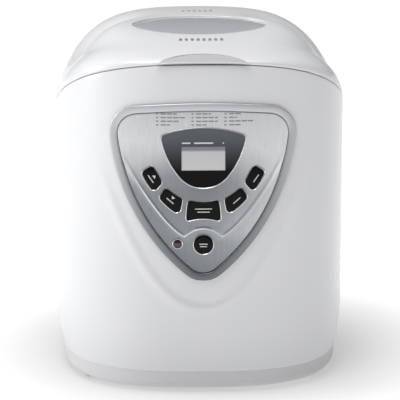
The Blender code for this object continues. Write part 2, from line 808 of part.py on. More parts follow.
def make_window():
    """The viewing glass, with a seal between it and the liner."""
    glass_bottom = WINDOW_RECESS + WINDOW_THICKNESS
    edge = window_ring(-GAP)
    middle = window_ring(-GAP, 0.6)
    rings = [on_dome(middle, WINDOW_RECESS), on_dome(edge, WINDOW_RECESS),
             on_dome(edge, glass_bottom), on_dome(middle, glass_bottom)]
    lofted("window_glass", rings, smoked_glass())
    seal_top = glass_bottom + 2 * GAP
    seal_bottom = seal_top + SEAL_DEPTH
    inner = window_ring(-GAP - SEAL_WIDTH)
    rings = [on_dome(edge, seal_top), on_dome(inner, seal_top), on_dome(inner, seal_bottom),
             on_dome(edge, seal_bottom)]
    lofted("window_seal", rings, rubber(), closed=True)


def recess_ring(grow):
    """The liner's recess in plan: over the oven, and forward far enough to take in the window."""
    front = min(CHAMBER_FRONT + RECESS_INSIDE_CHAMBER, WINDOW_Y - WINDOW_HALF_Y - RECESS_MARGIN)
    rear = CHAMBER_REAR - RECESS_INSIDE_CHAMBER
    half_x = CHAMBER_HALF_X - RECESS_INSIDE_CHAMBER
    return [Vector(point) for point in rounded_rectangle(half_x + grow, (rear - front) / 2 + grow,
                                                         RECESS_ROUND,
                                                         (0, (rear + front) / 2), 0, BODY_STEPS)]


def make_liner():
    """The metal inner lid: a flat rim over the deck and a deep recess above the pan."""
    up = Vector((0, 0, LINER_THICKNESS))
    rim = [seam_point(math.tau * k / BODY_STEPS, LINER_INSET, LINER_LIFT) for k in range(BODY_STEPS)]
    mouth = [Vector((p.x, p.y, seam_height(p.y) + LINER_LIFT)) for p in recess_ring(0)]
    brow = on_dome(recess_ring(-RECESS_SLOPE), CEILING_DROP)
    edge = on_dome(window_ring(-SEAL_WIDTH), CEILING_DROP)
    middle = on_dome([far.lerp(near, 0.5) for far, near in zip(brow, edge)], CEILING_DROP)
    outside = [Vector((p.x, p.y, seam_height(p.y) + LINER_LIFT + LINER_THICKNESS))
               for p in recess_ring(LINER_THICKNESS)]
    above = [[point + up for point in ring] for ring in (edge, middle, brow)]
    cap = [point + up for point in rim]
    lofted("lid_liner", [rim, mouth, brow, middle, edge] + above + [outside, cap], aluminium(),
           closed=True)


# ---------------------------------------------------------------- oven

def make_oven():
    inner = -CHAMBER_WALL
    rings = [oven_ring(-14 * MM, CHAMBER_FLOOR), oven_ring(-4 * MM, CHAMBER_FLOOR + 2 * MM),
             oven_ring(0, CHAMBER_FLOOR + 10 * MM), oven_ring(0, CHAMBER_TOP - CHAMBER_WALL),
             oven_ring(CHAMBER_LIP, CHAMBER_TOP - CHAMBER_WALL), oven_ring(CHAMBER_LIP, CHAMBER_TOP),
             oven_ring(inner, CHAMBER_TOP), oven_ring(inner, CHAMBER_FLOOR + 10 * MM),
             oven_ring(inner - 4 * MM, CHAMBER_FLOOR + 3.2 * MM), oven_ring(inner - 14 * MM,
                     CHAMBER_FLOOR + CHAMBER_WALL)]
    chamber = lofted("oven_chamber", rings, coated_steel())
    bush_hole = rod("bush_hole", (0, OVEN_Y, CHAMBER_FLOOR - 5 * MM), (0, OVEN_Y, CHAMBER_FLOOR
            + 5 * MM),
                    BUSH_RADIUS + GAP, coated_steel(), steps=HOLE_STEPS)
    combine(chamber, bush_hole, "DIFFERENCE")
    for side in (-1, 1):
        y = OVEN_Y + side * ELEMENT_LEAD_SPACING / 2
        hole = rod("element_hole", (CHAMBER_HALF_X - 8 * MM, y, ELEMENT_Z), (CHAMBER_HALF_X + 4 * MM,
                y, ELEMENT_Z),
                   ELEMENT_RADIUS + 2 * GAP, coated_steel())
        combine(chamber, hole, "DIFFERENCE")
    probe_z = (CHAMBER_FLOOR + CHAMBER_TOP) / 2
    hole = rod("probe_hole", (-CHAMBER_HALF_X - 4 * MM, OVEN_Y, probe_z), (-CHAMBER_HALF_X + 8 * MM,
            OVEN_Y, probe_z),
               PROBE_RADIUS + GAP, coated_steel())
    combine(chamber, hole, "DIFFERENCE")
    rod("temperature_sensor", (-CHAMBER_HALF_X - 3 * MM, OVEN_Y, probe_z),
        (-CHAMBER_HALF_X + 9 * MM, OVEN_Y, probe_z), PROBE_RADIUS, bare_steel())
    shield = [oven_ring(SHIELD_GAP, CHAMBER_FLOOR + 4 * MM), oven_ring(SHIELD_GAP, CHAMBER_TOP
            - 12 * MM),
              oven_ring(SHIELD_GAP + SHIELD_WALL, CHAMBER_TOP - 12 * MM),
              oven_ring(SHIELD_GAP + SHIELD_WALL, CHAMBER_FLOOR + 4 * MM)]
    lofted("heat_shield", shield, aluminium(), closed=True)
    make_element()


def make_element():
    """A tubular heater that enters by the side wall, rings the chamber and leaves beside its start."""
    inset = CHAMBER_WALL + ELEMENT_WALL_GAP + ELEMENT_RADIUS
    half_x = CHAMBER_HALF_X - inset
    half_y = CHAMBER_HALF_Y - inset
    lead = ELEMENT_LEAD_SPACING / 2
    steps = 34
    loop = rounded_rectangle(half_x, half_y, CHAMBER_ROUND, (0, OVEN_Y), ELEMENT_Z, steps)
    kept = [point for point in loop if not (point[0] > 0 and abs(point[1] - OVEN_Y) < lead + 6 * MM)]
    kept.sort(key=lambda point: math.atan2(point[1] - OVEN_Y, point[0]) % math.tau)
    end_x = CHAMBER_HALF_X + SHIELD_GAP - GAP - 1 * MM
    start = [(end_x, OVEN_Y + lead, ELEMENT_Z), (half_x + 2 * MM, OVEN_Y + lead, ELEMENT_Z),
             (half_x + 0.6 * MM, OVEN_Y + lead + 1.5 * MM, ELEMENT_Z)]
    finish = [(x, 2 * OVEN_Y - y, z) for x, y, z in reversed(start)]
    wire("heating_element", start + kept + finish, ELEMENT_RADIUS, bare_steel())
    for side, label in ((-1, "left"), (1, "right")):
        y = OVEN_Y + side * 0.5 * half_y
        low = CHAMBER_FLOOR + 10 * MM + GAP
        centre_x = -half_x
        box("element_clip_" + label, (centre_x - 5 * MM, y - 4 * MM, low),
            (centre_x + 5 * MM, y + 4 * MM, ELEMENT_Z - ELEMENT_RADIUS - GAP), bare_steel())


def make_socket():
    floor = CHAMBER_FLOOR + CHAMBER_WALL + GAP
    inner = SOCKET_RADIUS - SOCKET_WALL
    turned("pan_socket",
           [(SOCKET_RADIUS + 6 * MM, floor), (SOCKET_RADIUS + 6 * MM, floor + SOCKET_SHEET),
            (SOCKET_RADIUS, floor + SOCKET_SHEET), (SOCKET_RADIUS, floor + SOCKET_HEIGHT),
            (inner, floor + SOCKET_HEIGHT), (inner, floor + SOCKET_SHEET),
            (COUPLING_RADIUS + 5 * MM, floor + SOCKET_SHEET), (COUPLING_RADIUS + 5 * MM, floor)],
           (0, OVEN_Y), aluminium(), hollow=True)


# ---------------------------------------------------------------- kneading drive

def make_drive():
    pulley_top = PULLEY_BOTTOM + PULLEY_WIDTH
    shaft_top = CHAMBER_FLOOR + 8 * MM
    bore = SHAFT_RADIUS + GAP
    turned("drive_shaft", [(SHAFT_RADIUS - 0.6 * MM, PULLEY_BOTTOM - 3 * MM),
                           (SHAFT_RADIUS, PULLEY_BOTTOM - 2.4 * MM),
                           (SHAFT_RADIUS, shaft_top)], (0, OVEN_Y), bare_steel())
    flange = 1.2 * MM
    groove = PULLEY_BOTTOM + (PULLEY_WIDTH - BELT_WIDTH) / 2 - GAP
    turned("large_pulley",
           [(bore, PULLEY_BOTTOM), (14 * MM, PULLEY_BOTTOM), (16 * MM, PULLEY_BOTTOM + 4 * MM),
            (PULLEY_RADIUS - 5 * MM, PULLEY_BOTTOM + 4 * MM), (PULLEY_RADIUS - 4 * MM, PULLEY_BOTTOM),
            (PULLEY_RADIUS + flange, PULLEY_BOTTOM), (PULLEY_RADIUS + flange, groove), (PULLEY_RADIUS,
                    groove),
            (PULLEY_RADIUS, pulley_top - (groove - PULLEY_BOTTOM)),
            (PULLEY_RADIUS + flange, pulley_top - (groove - PULLEY_BOTTOM)), (PULLEY_RADIUS + flange,
                    pulley_top),
            (PULLEY_RADIUS - 4 * MM, pulley_top), (PULLEY_RADIUS - 5 * MM, PULLEY_BOTTOM + 7 * MM),
            (16 * MM, PULLEY_BOTTOM + 7 * MM), (14 * MM, pulley_top + 1 * MM), (bore, pulley_top
                    + 1 * MM)],
           (0, OVEN_Y), dark_plastic(), hollow=True)
    bush_top = CHAMBER_FLOOR + CHAMBER_WALL
    turned("drive_bearing",
           [(SHAFT_RADIUS + RUNNING_CLEARANCE, FRAME_BOTTOM - 2 * MM), (BUSH_RADIUS, FRAME_BOTTOM
                   - 2 * MM),
            (BUSH_RADIUS, CHAMBER_FLOOR - 4 * MM), (BUSH_FLANGE, CHAMBER_FLOOR - 4 * MM),
            (BUSH_FLANGE, CHAMBER_FLOOR - GAP), (BUSH_RADIUS, CHAMBER_FLOOR - GAP),
            (BUSH_RADIUS, bush_top), (SHAFT_RADIUS + RUNNING_CLEARANCE, bush_top)],
           (0, OVEN_Y), bronze(), hollow=True)
    make_coupling("drive_coupling", CHAMBER_FLOOR + 3 * MM, 90)
    turned("motor_shaft", [(MOTOR_SHAFT_RADIUS, PULLEY_BOTTOM - 3 * MM),
                           (MOTOR_SHAFT_RADIUS, FRAME_BOTTOM + FRAME_THICKNESS + 24 * MM)],
           (MOTOR_X, MOTOR_Y), bare_steel())
    small = MOTOR_PULLEY_RADIUS
    turned("motor_pulley",
           [(MOTOR_SHAFT_RADIUS + GAP, PULLEY_BOTTOM), (small + flange, PULLEY_BOTTOM),
            (small + flange, groove),
            (small, groove), (small, pulley_top - (groove - PULLEY_BOTTOM)),
            (small + flange, pulley_top - (groove - PULLEY_BOTTOM)), (small + flange, pulley_top),
            (MOTOR_SHAFT_RADIUS + GAP, pulley_top)],
           (MOTOR_X, MOTOR_Y), bronze(), hollow=True)
    make_motor()
    make_belt()
    make_frame()


def make_coupling(name, bottom, turn):
    """A dog clutch half: a disc on the shaft with two upright lugs."""
    disc = 2.5 * MM
    lug = 6 * MM
    base = turned(name, [(SHAFT_RADIUS + GAP, bottom), (COUPLING_RADIUS, bottom),
                         (COUPLING_RADIUS, bottom + disc),
                         (SHAFT_RADIUS + GAP, bottom + disc)], (0, OVEN_Y), bare_steel(), hollow=True)
    for side in (0, 180):
        angle = math.radians(turn + side)
        spread = math.radians(16)
        ring = []
        for height in (bottom + disc * 0.5, bottom + disc + lug):
            outline = arc((0, OVEN_Y), COUPLING_RADIUS - 1 * MM, angle - spread, angle + spread, 4)
            outline += arc((0, OVEN_Y), COUPLING_RADIUS - 8 * MM, angle + spread, angle - spread, 4)
            ring.append([(x, y, height) for x, y in outline])
        dog = lofted(name + "_dog", ring, bare_steel())
        combine(base, dog, "UNION")
    return base


def make_motor():
    bottom = FRAME_BOTTOM + FRAME_THICKNESS + GAP
    top = bottom + MOTOR_HEIGHT
    bore = MOTOR_SHAFT_RADIUS + GAP
    turned("motor_body",
           [(bore, bottom + 30 * MM), (bore, bottom), (MOTOR_RADIUS - 2 * MM, bottom),
            (MOTOR_RADIUS, bottom + 2 * MM),
            (MOTOR_RADIUS, top - 14 * MM), (MOTOR_RADIUS - 4 * MM, top - 10 * MM), (12 * MM, top
                    - 10 * MM),
            (9 * MM, top)], (MOTOR_X, MOTOR_Y), bare_steel())


def make_belt():
    """The toothed belt round both pulleys, as one closed band."""
    centres = Vector((MOTOR_X, MOTOR_Y - OVEN_Y))
    lean_angle = math.atan2(centres.y, centres.x)
    tangent = math.acos((PULLEY_RADIUS - MOTOR_PULLEY_RADIUS) / centres.length)
    rings = []
    low = PULLEY_BOTTOM + (PULLEY_WIDTH - BELT_WIDTH) / 2
    for out, height in ((GAP, low), (GAP + BELT_THICKNESS, low), (GAP + BELT_THICKNESS, low
            + BELT_WIDTH),
                        (GAP, low + BELT_WIDTH)):
        loop = arc((0, OVEN_Y), PULLEY_RADIUS + out, lean_angle + tangent, lean_angle - tangent
                   + math.tau, 36)
        loop += arc((MOTOR_X, MOTOR_Y), MOTOR_PULLEY_RADIUS + out, lean_angle - tangent, lean_angle
                    + tangent, 12)
        rings.append([(x, y, height) for x, y in loop])
    lofted("drive_belt", rings, rubber(), closed=True)


def make_frame():
    """The steel bracket that carries the motor, the drive bearing and the oven."""
    half = 62 * MM
    low_y = MOTOR_Y - MOTOR_RADIUS * 0.5
    high_y = OVEN_Y + PULLEY_RADIUS + 14 * MM
    wide = max(MOTOR_X + MOTOR_RADIUS * 0.6, half)
    frame = box("drive_frame", (-half, low_y, FRAME_BOTTOM), (wide, high_y, FRAME_BOTTOM
            + FRAME_THICKNESS),
                bare_steel())
    for x, y, radius in ((0, OVEN_Y, BUSH_RADIUS + GAP), (MOTOR_X, MOTOR_Y, MOTOR_SHAFT_RADIUS
                                                          + 3 * MM)):
        hole = rod("frame_hole", (x, y, FRAME_BOTTOM - 5 * MM), (x, y, FRAME_BOTTOM + 8 * MM), radius,
                   bare_steel(),
                   steps=HOLE_STEPS)
        combine(frame, hole, "DIFFERENCE")
    post = 4 * MM
    spots = [(-half + 6 * MM, low_y + 6 * MM), (-half + 6 * MM, high_y - 6 * MM),
             (wide - 6 * MM, high_y - 6 * MM),
             (wide - 5 * MM, low_y + 5 * MM)]
    for x, y in spots:
        leg = rod("frame_leg", (x, y, TRAY_FLOOR + GAP), (x, y, FRAME_BOTTOM + 1 * MM), post,
                  bare_steel(), steps=16)
        combine(frame, leg, "UNION")


# ---------------------------------------------------------------- pan

def pan_ring(grow, height, share):
    """A ring of the pan; share runs from 0 at the floor to 1 at the rim."""
    taper = PAN_TAPER * (1 - share)
    return rounded_rectangle(PAN_HALF_X + grow - taper, PAN_HALF_Y + grow - taper, PAN_ROUND,
                             (0, OVEN_Y), height, BODY_STEPS)


def make_pan():
    wall = PAN_WALL
    soft = PAN_SOFT
    floor = PAN_FLOOR
    rings = [pan_ring(-soft, floor, 0), pan_ring(-soft * 0.3, floor + soft * 0.3, 0.03),
             pan_ring(0, floor + soft, 0.07), pan_ring(0, PAN_TOP - 2 * MM, 1),
             pan_ring(PAN_RIM, PAN_TOP - 2 * MM, 1), pan_ring(PAN_RIM, PAN_TOP, 1), pan_ring(-wall,
                     PAN_TOP, 1),
             pan_ring(-wall, floor + soft, 0.07), pan_ring(-wall - soft * 0.3, floor + soft * 0.3
                                                           + wall, 0.03),
             pan_ring(-wall - soft, floor + wall, 0)]
    pan = lofted("bread_pan", rings, coated_steel())
    seal_radius = SEAL_RADIUS
    hole = rod("pan_hole", (0, OVEN_Y, floor - 5 * MM), (0, OVEN_Y, floor + 5 * MM), seal_radius + GAP,
               coated_steel(),
               steps=HOLE_STEPS)
    combine(pan, hole, "DIFFERENCE")
    shaft_bore = SHAFT_RADIUS + RUNNING_CLEARANCE
    turned("shaft_seal", [(shaft_bore, floor - 1 * MM), (seal_radius, floor - 1 * MM),
                          (seal_radius, floor + 4 * MM),
                          (shaft_bore, floor + 4 * MM)], (0, OVEN_Y), rubber(), hollow=True)
    skirt = SOCKET_RADIUS - SOCKET_WALL - PAN_FOOT_CLEARANCE
    socket_floor = CHAMBER_FLOOR + CHAMBER_WALL + GAP + SOCKET_SHEET
    top = floor - GAP
    turned("pan_foot",
           [(skirt, socket_floor + GAP), (skirt, top - 2 * MM), (skirt + 4 * MM, top - 2 * MM),
            (skirt + 4 * MM, top),
            (BUSH_RADIUS, top), (BUSH_RADIUS, top - 2 * MM), (shaft_bore, top - 2 * MM), (shaft_bore,
                    top - 8 * MM),
            (BUSH_RADIUS, top - 8 * MM), (BUSH_RADIUS + 2 * MM, top - 2.5 * MM), (skirt - 2 * MM, top
                    - 2.5 * MM),
            (skirt - 2 * MM, socket_floor + GAP)],
           (0, OVEN_Y), aluminium(), hollow=True)
    make_bail()
    make_paddle()


def make_bail():
    """The wire carrying handle, folded flat against the rim, and the two lugs it turns in."""
    lug_x = PAN_HALF_X + PAN_RIM + GAP
    lug_thick = 2 * MM
    for side, label in ((-1, "left"), (1, "right")):
        low = sorted((side * lug_x, side * (lug_x + lug_thick)))
        lug = box("bail_lug_" + label, (low[0], OVEN_Y - 8 * MM, PAN_TOP - 14 * MM),
                  (low[1], OVEN_Y + 8 * MM, BAIL_PIVOT_Z + LUG_PIN + 2.5 * MM), bare_steel())
        eye = rod("lug_eye", (low[0] - 3 * MM, OVEN_Y, BAIL_PIVOT_Z), (low[1] + 3 * MM, OVEN_Y,
                BAIL_PIVOT_Z),
                  BAIL_WIRE + GAP, bare_steel())
        combine(lug, eye, "DIFFERENCE")
    side_x = lug_x + lug_thick + GAP + BAIL_WIRE + 0.4 * MM
    hook_x = lug_x - 3 * MM
    reach = BAIL_REACH
    bend = BAIL_BEND
    half = [(hook_x, 0), (side_x - 1.2 * MM, 0), (side_x, 1.2 * MM)]
    half += [(side_x, reach - bend)]
    half += arc((side_x - bend, reach - bend), bend, 0, math.pi / 2, 6)[1:]
    mirrored = [(-x, y) for x, y in reversed(half)]
    route = [(x, OVEN_Y - y, BAIL_PIVOT_Z) for x, y in half + mirrored]
    wire("pan_bail", route, BAIL_WIRE, bare_steel())


def make_paddle():
    floor = PAN_FLOOR
    shaft_top = floor + 24 * MM
    turned("paddle_shaft", [(SHAFT_RADIUS, floor - 13 * MM), (SHAFT_RADIUS, shaft_top - 1 * MM),
                            (SHAFT_RADIUS - 1 * MM, shaft_top)], (0, OVEN_Y), bare_steel())
    wing_top = floor - 9 * MM
    wing_bottom = wing_top - 4 * MM
    hub = turned("pan_coupling", [(SHAFT_RADIUS + GAP, wing_bottom), (8 * MM, wing_bottom),
                                  (8 * MM, wing_top),
                                  (SHAFT_RADIUS + GAP, wing_top)], (0,
                                          OVEN_Y), bare_steel(), hollow=True)
    for side in (-1, 1):
        ends = sorted((side * 6 * MM, side * (COUPLING_RADIUS - 1 * MM)))
        wing = box("coupling_wing", (ends[0], OVEN_Y - 4 * MM, wing_bottom + 0.5 * MM),
                   (ends[1], OVEN_Y + 4 * MM, wing_top - 0.5 * MM), bare_steel())
        combine(hub, wing, "UNION")
    base = floor + 6 * MM
    bore = SHAFT_RADIUS + GAP
    paddle = turned("kneading_paddle", [(bore, base), (10 * MM, base), (8 * MM, base + 10 * MM),
                                        (7 * MM, base + 20 * MM),
                                        (bore, base + 20 * MM)], (0,
                                                OVEN_Y), coated_steel(), hollow=True)
    blade = [(5.5 * MM, base + 2 * MM), (PADDLE_LENGTH, base), (PADDLE_LENGTH + 3 * MM, base + 4 * MM),
             (PADDLE_LENGTH - 2 * MM, base + PADDLE_HEIGHT), (PADDLE_LENGTH - 10 * MM, base
                     + PADDLE_HEIGHT - 3 * MM),
             (5.5 * MM, base + 14 * MM)]
    work = plate_mesh(blade, [], OVEN_Y - 2 * MM, OVEN_Y + 2 * MM)
    combine(paddle, place("paddle_blade", work, coated_steel()), "UNION")


# ---------------------------------------------------------------- controls

def lens_outline(grow=0.0):
    return soft_triangle(LENS_HALF_WIDTH, LENS_TOP, LENS_TOP - LENS_HEIGHT, LENS_CORNER, LENS_TIP,
                         LENS_SIDE_ARC, LENS_TOP_ARC, grow)


def button_corners():
    """Corner points of the five arc buttons, in mm across and mm below the panel's top."""
    outer = [(54.3, 61.7), (45.2, 56.0), (36.9, 70.6), (43.8, 78.5)]
    inner = [(38.8, 84.1), (33.3, 75.4), (19.2, 85.4), (21.6, 98.9)]
    middle = [(-13.1, 86.6), (0, 88.9), (13.1, 86.6), (14.9, 105.2), (0, 102.2), (-14.9, 105.2)]
    shapes = {"timer_up_button": [(-x, drop) for x, drop in outer],
              "timer_down_button": [(-x, drop) for x, drop in inner],
              "dough_size_button": middle, "options_button": inner, "crust_colour_button": outer}
    placed = {}
    for name, corners in shapes.items():
        placed[name] = [(x * MM, PANEL_TOP - drop * MM) for x, drop in corners]
    return placed


def make_controls():
    front_piece("control_bezel", panel_outline(), grey_plastic(), PANEL_SEAT, BEZEL_PROUD,
                [panel_outline(-BEZEL_WIDTH)])
    holes = [lens_outline(GAP)]
    buttons = {name: rounded_polygon(corners, BUTTON_CORNER) for name,
               corners in button_corners().items()}
    start_centre = (0, PANEL_BOTTOM + START_RISE)
    buttons["start_stop_button"] = circle(start_centre, START_RADIUS)
    for outline in buttons.values():
        holes.append(grown(outline, BUTTON_CLEARANCE))
    lamp_centre = (-LAMP_SIDE, PANEL_BOTTOM + LAMP_RISE)
    holes.append(circle(lamp_centre, LAMP_RADIUS + GAP))
    front_piece("control_fascia", panel_outline(-BEZEL_WIDTH - GAP), silver_panel(),
                PANEL_SEAT, FASCIA_PROUD, holes)
    front_piece("display_lens", lens_outline(), black_gloss(), -1 * MM, FASCIA_PROUD + 0.4 * MM)
    for name, outline in buttons.items():
        make_button(name, outline)
    front_piece("indicator_lamp", circle(lamp_centre, LAMP_RADIUS), red_lens(), -3 * MM, FASCIA_PROUD
                + 1 * MM)
    lcd_z = LENS_TOP - 28 * MM
    lcd = rounded_polygon([(-21 * MM, lcd_z - 12 * MM), (21 * MM, lcd_z - 12 * MM),
                           (21 * MM, lcd_z + 12 * MM),
                           (-21 * MM, lcd_z + 12 * MM)], 1 * MM)
    front_piece("display_module", lcd, grey_plastic(), -7 * MM, -1 * MM - 2 * GAP)
    make_boards()


def make_button(name, outline):
    """A key cap with a wider flange behind the fascia; its origin is its own centre."""
    centre_x = sum(point[0] for point in outline) / len(outline)
    centre_z = sum(point[1] for point in outline) / len(outline)
    flange = grown(outline, BUTTON_FLANGE)
    levels = [(flange, -BUTTON_DEPTH), (flange, -GAP), (outline, -GAP), (outline, BUTTON_PROUD
            - 0.5 * MM),
              (grown(outline, -0.7 * MM), BUTTON_PROUD)]
    rings = []
    for shape, proud in levels:
        rings.append([front_point(x, z, proud) for x, z in shape])
    lofted(name, rings, black_gloss(), origin=front_point(centre_x, centre_z))


def make_boards():
    face_y = FRONT_Y + LEAN_BACK + BOARD_SETBACK
    middle_z = LENS_TOP - 42 * MM
    box("control_board", (-BOARD_HALF_WIDTH, face_y, middle_z - BOARD_HEIGHT / 2),
        (BOARD_HALF_WIDTH, face_y + BOARD_THICKNESS, middle_z + BOARD_HEIGHT / 2), circuit_board())
    low_x = -HALF_WIDTH + 52 * MM
    board_z = FRAME_BOTTOM + FRAME_THICKNESS + 8 * MM
    board_y = FRONT_Y + LEAN_BACK + WALL + 36 * MM
    power = box("power_board", (low_x, board_y, board_z), (low_x + 62 * MM, board_y + BOARD_THICKNESS,
                                                           board_z + 58 * MM),
                circuit_board())
    for low, high in (((8, 0, 10), (34, 24, 40)), ((40, 0, 12), (54, 18, 30))):
        lump = box("power_part", (low_x + low[0] * MM, board_y + 1 * MM, board_z + low[2] * MM),
                   (low_x + high[0] * MM, board_y + BOARD_THICKNESS + high[1] * MM, board_z
                    + high[2] * MM),
                   circuit_board())
        combine(power, lump, "UNION")


def make_gland():
    y = body_wall_y(GLAND_SIDE - GLAND_RADIUS - 2 * MM) - 2.6 * MM + GAP
    turn = Vector((0, 1, 0)).to_track_quat("Z", "Y").to_matrix().to_4x4()
    frame = Matrix.Translation((GLAND_SIDE, y, GLAND_HEIGHT)) @ turn
    neck = GLAND_RADIUS - GAP
    profile = [(3.2 * MM, -9 * MM), (neck, -9 * MM), (neck, 2.6 * MM), (GLAND_RADIUS + 2 * MM, 2.6 * MM),
               (GLAND_RADIUS + 2 * MM, 4.6 * MM), (5.5 * MM, 8 * MM), (3.2 * MM, 8 * MM)]
    rings = []
    for radius, along in profile:
        rings.append([frame @ Vector((radius * math.cos(math.tau * k / 24),
                                      radius * math.sin(math.tau * k / 24), along))
                      for k in range(24)])
    lofted("cord_gland", rings, dark_plastic(), closed=True)


def main():
    clear_scene()
    make_covers()
    make_base()
    make_top_deck()
    make_lid()
    make_oven()
    make_socket()
    make_drive()
    make_pan()
    make_controls()
    make_gland()


main()
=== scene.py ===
import math
import bmesh
import bpy
from mathutils import Matrix, Vector


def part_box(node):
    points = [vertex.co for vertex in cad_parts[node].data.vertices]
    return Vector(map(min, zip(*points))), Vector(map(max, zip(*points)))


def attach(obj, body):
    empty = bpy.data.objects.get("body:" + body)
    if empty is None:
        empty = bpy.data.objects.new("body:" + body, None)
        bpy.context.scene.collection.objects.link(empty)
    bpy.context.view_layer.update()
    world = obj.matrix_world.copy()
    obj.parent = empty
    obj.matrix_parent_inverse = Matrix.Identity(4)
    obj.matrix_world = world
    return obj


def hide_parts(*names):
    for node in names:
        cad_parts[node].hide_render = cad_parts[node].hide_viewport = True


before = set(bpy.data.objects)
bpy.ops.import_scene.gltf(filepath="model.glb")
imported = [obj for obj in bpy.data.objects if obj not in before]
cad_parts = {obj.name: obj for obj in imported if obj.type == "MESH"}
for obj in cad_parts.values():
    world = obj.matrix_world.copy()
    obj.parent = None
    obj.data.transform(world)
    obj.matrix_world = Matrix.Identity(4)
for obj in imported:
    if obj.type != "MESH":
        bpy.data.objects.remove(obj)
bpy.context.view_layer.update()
mm = 0.001
print("frame loaded:", len(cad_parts), "nodes")

# the body's outer form: two superellipse halves, a sloping seam and a dome over it
form = {
    "halfWidth": 135 * mm, "centreY": -3.4 * mm, "frontDepth": 157 * mm, "rearDepth": 157 * mm,
    "frontRound": 2.78, "rearRound": 2.4, "leanStart": 153 * mm, "leanBack": 8 * mm,
    "deckHeight": 243 * mm, "frontRise": 56.5 * mm, "seamSlope": 0.48, "seamBlend": 12 * mm,
    "crownEdge": 5.5 * mm, "crownRise": 61 * mm, "crownFall": 48 * mm,
    "domeSide": 1.85, "domeRear": 5.0, "domeFront": 4.5,
    "lidGap": 0.5 * mm, "wall": 2.5 * mm, "coverBottom": 20.3 * mm, "gap": 0.3 * mm,
}
frontTop = form["deckHeight"] + form["frontRise"]
frontY = form["centreY"] - form["frontDepth"]
rearY = form["centreY"] + form["rearDepth"]


def leanAt(height):
    share = max(0.0, (height - form["leanStart"]) / (frontTop - form["leanStart"]))
    return form["leanBack"] * share * share


def bodyPoint(turn, height, inset=0.0):
    front = math.sin(turn) < 0
    power = form["frontRound"] if front else form["rearRound"]
    depth = (form["frontDepth"] - leanAt(height) if front else form["rearDepth"]) - inset
    side = form["halfWidth"] - inset
    reach = (abs(math.cos(turn) / side) ** power + abs(math.sin(turn) / depth) ** power) ** (-1 / power)
    return Vector((reach * math.cos(turn), form["centreY"] + reach * math.sin(turn), height))


def seamHeight(y):
    over = form["frontRise"] - form["seamSlope"] * (y - frontY - form["leanBack"])
    return form["deckHeight"] + (over + math.sqrt(over ** 2 + form["seamBlend"] ** 2)) / 2


def seamPoint(turn, inset=0.0, above=0.0):
    height = form["deckHeight"]
    for _ in range(8):  # settles to well under a hundredth of a millimetre
        point = bodyPoint(turn, height, inset)
        height = seamHeight(point.y)
    return Vector((point.x, point.y, height + above))


def crownHeight(y):
    share = (y - frontY - form["leanBack"]) / (rearY - frontY - form["leanBack"])
    return frontTop + form["crownEdge"] + form["crownRise"] * share - form["crownFall"] * share * share


windowSetup = {"halfX": 62 * mm, "halfY": 40.5 * mm, "y": -37.4 * mm, "ground": 1.05, "fade": 0.9,
               "recess": 1.2 * mm, "glass": 2.8 * mm, "flange": 6.0 * mm, "sealWidth": 3 * mm,
               "sealDepth": 2.2 * mm, "ceiling": 11 * mm}
edgeCache = {}


def smoothStep(low, high, value):
    share = min(1.0, max(0.0, (value - low) / (high - low)))
    return share * share * (3 - 2 * share)


def windowFlat(x, y):
    # 1 over the window and a little past it, fading to 0 well outside it
    reach = math.hypot(x / windowSetup["halfX"], (y - windowSetup["y"]) / windowSetup["halfY"])
    return 1 - smoothStep(windowSetup["ground"], windowSetup["ground"] + windowSetup["fade"], reach)


def lidHeight(x, y):
    turn = round(math.atan2(y - form["centreY"], x), 5)
    if turn not in edgeCache:
        edgeCache[turn] = seamPoint(turn, 0, form["lidGap"])
    edge = edgeCache[turn]
    share = min(1.0, math.hypot(x, y - form["centreY"]) / math.hypot(edge.x, edge.y - form["centreY"]))
    rear = max(0.0, math.sin(turn)) ** 2
    ahead = max(0.0, -math.sin(turn)) ** 4
    power = (form["domeSide"] + (form["domeRear"] - form["domeSide"]) * rear
             + (form["domeFront"] - form["domeSide"]) * ahead)
    drop = 1 - (1 - share ** power) ** (1 / power)
    return crownHeight(y) - (crownHeight(edge.y) - edge.z) * drop * (1 - windowFlat(x, y))


def frontSurface(x, z):
    share = min(0.999, abs(x) / form["halfWidth"])
    return form["centreY"] - (form["frontDepth"] - leanAt(z)) * (1 - share ** form["frontRound"]) ** (
        1 / form["frontRound"])


def frontPoint(x, z, proud=0.0):
    step = 0.5 * mm
    slopeX = (frontSurface(x + step, z) - frontSurface(x - step, z)) / (2 * step)
    slopeZ = (frontSurface(x, z + step) - frontSurface(x, z - step)) / (2 * step)
    outward = Vector((slopeX, -1, slopeZ)).normalized()
    return Vector((x, frontSurface(x, z), z)) + outward * proud


def toLinear(hexColour):
    parts = [int(hexColour[k:k + 2], 16) / 255 for k in (1, 3, 5)]
    return (*[part / 12.92 if part <= 0.04045 else ((part + 0.055) / 1.055) ** 2.4 for part in parts], 1.0)


def addNode(tree, kind, settings=None, links=None):
    # one node, with its settings by name and its input links by socket
    node = tree.nodes.new(kind)
    for name, value in (settings or {}).items():
        if isinstance(name, int) or name in node.inputs:
            node.inputs[name].default_value = value
        else:
            setattr(node, name, value)
    for name, source in (links or {}).items():
        tree.links.new(source, node.inputs[name])
    return node


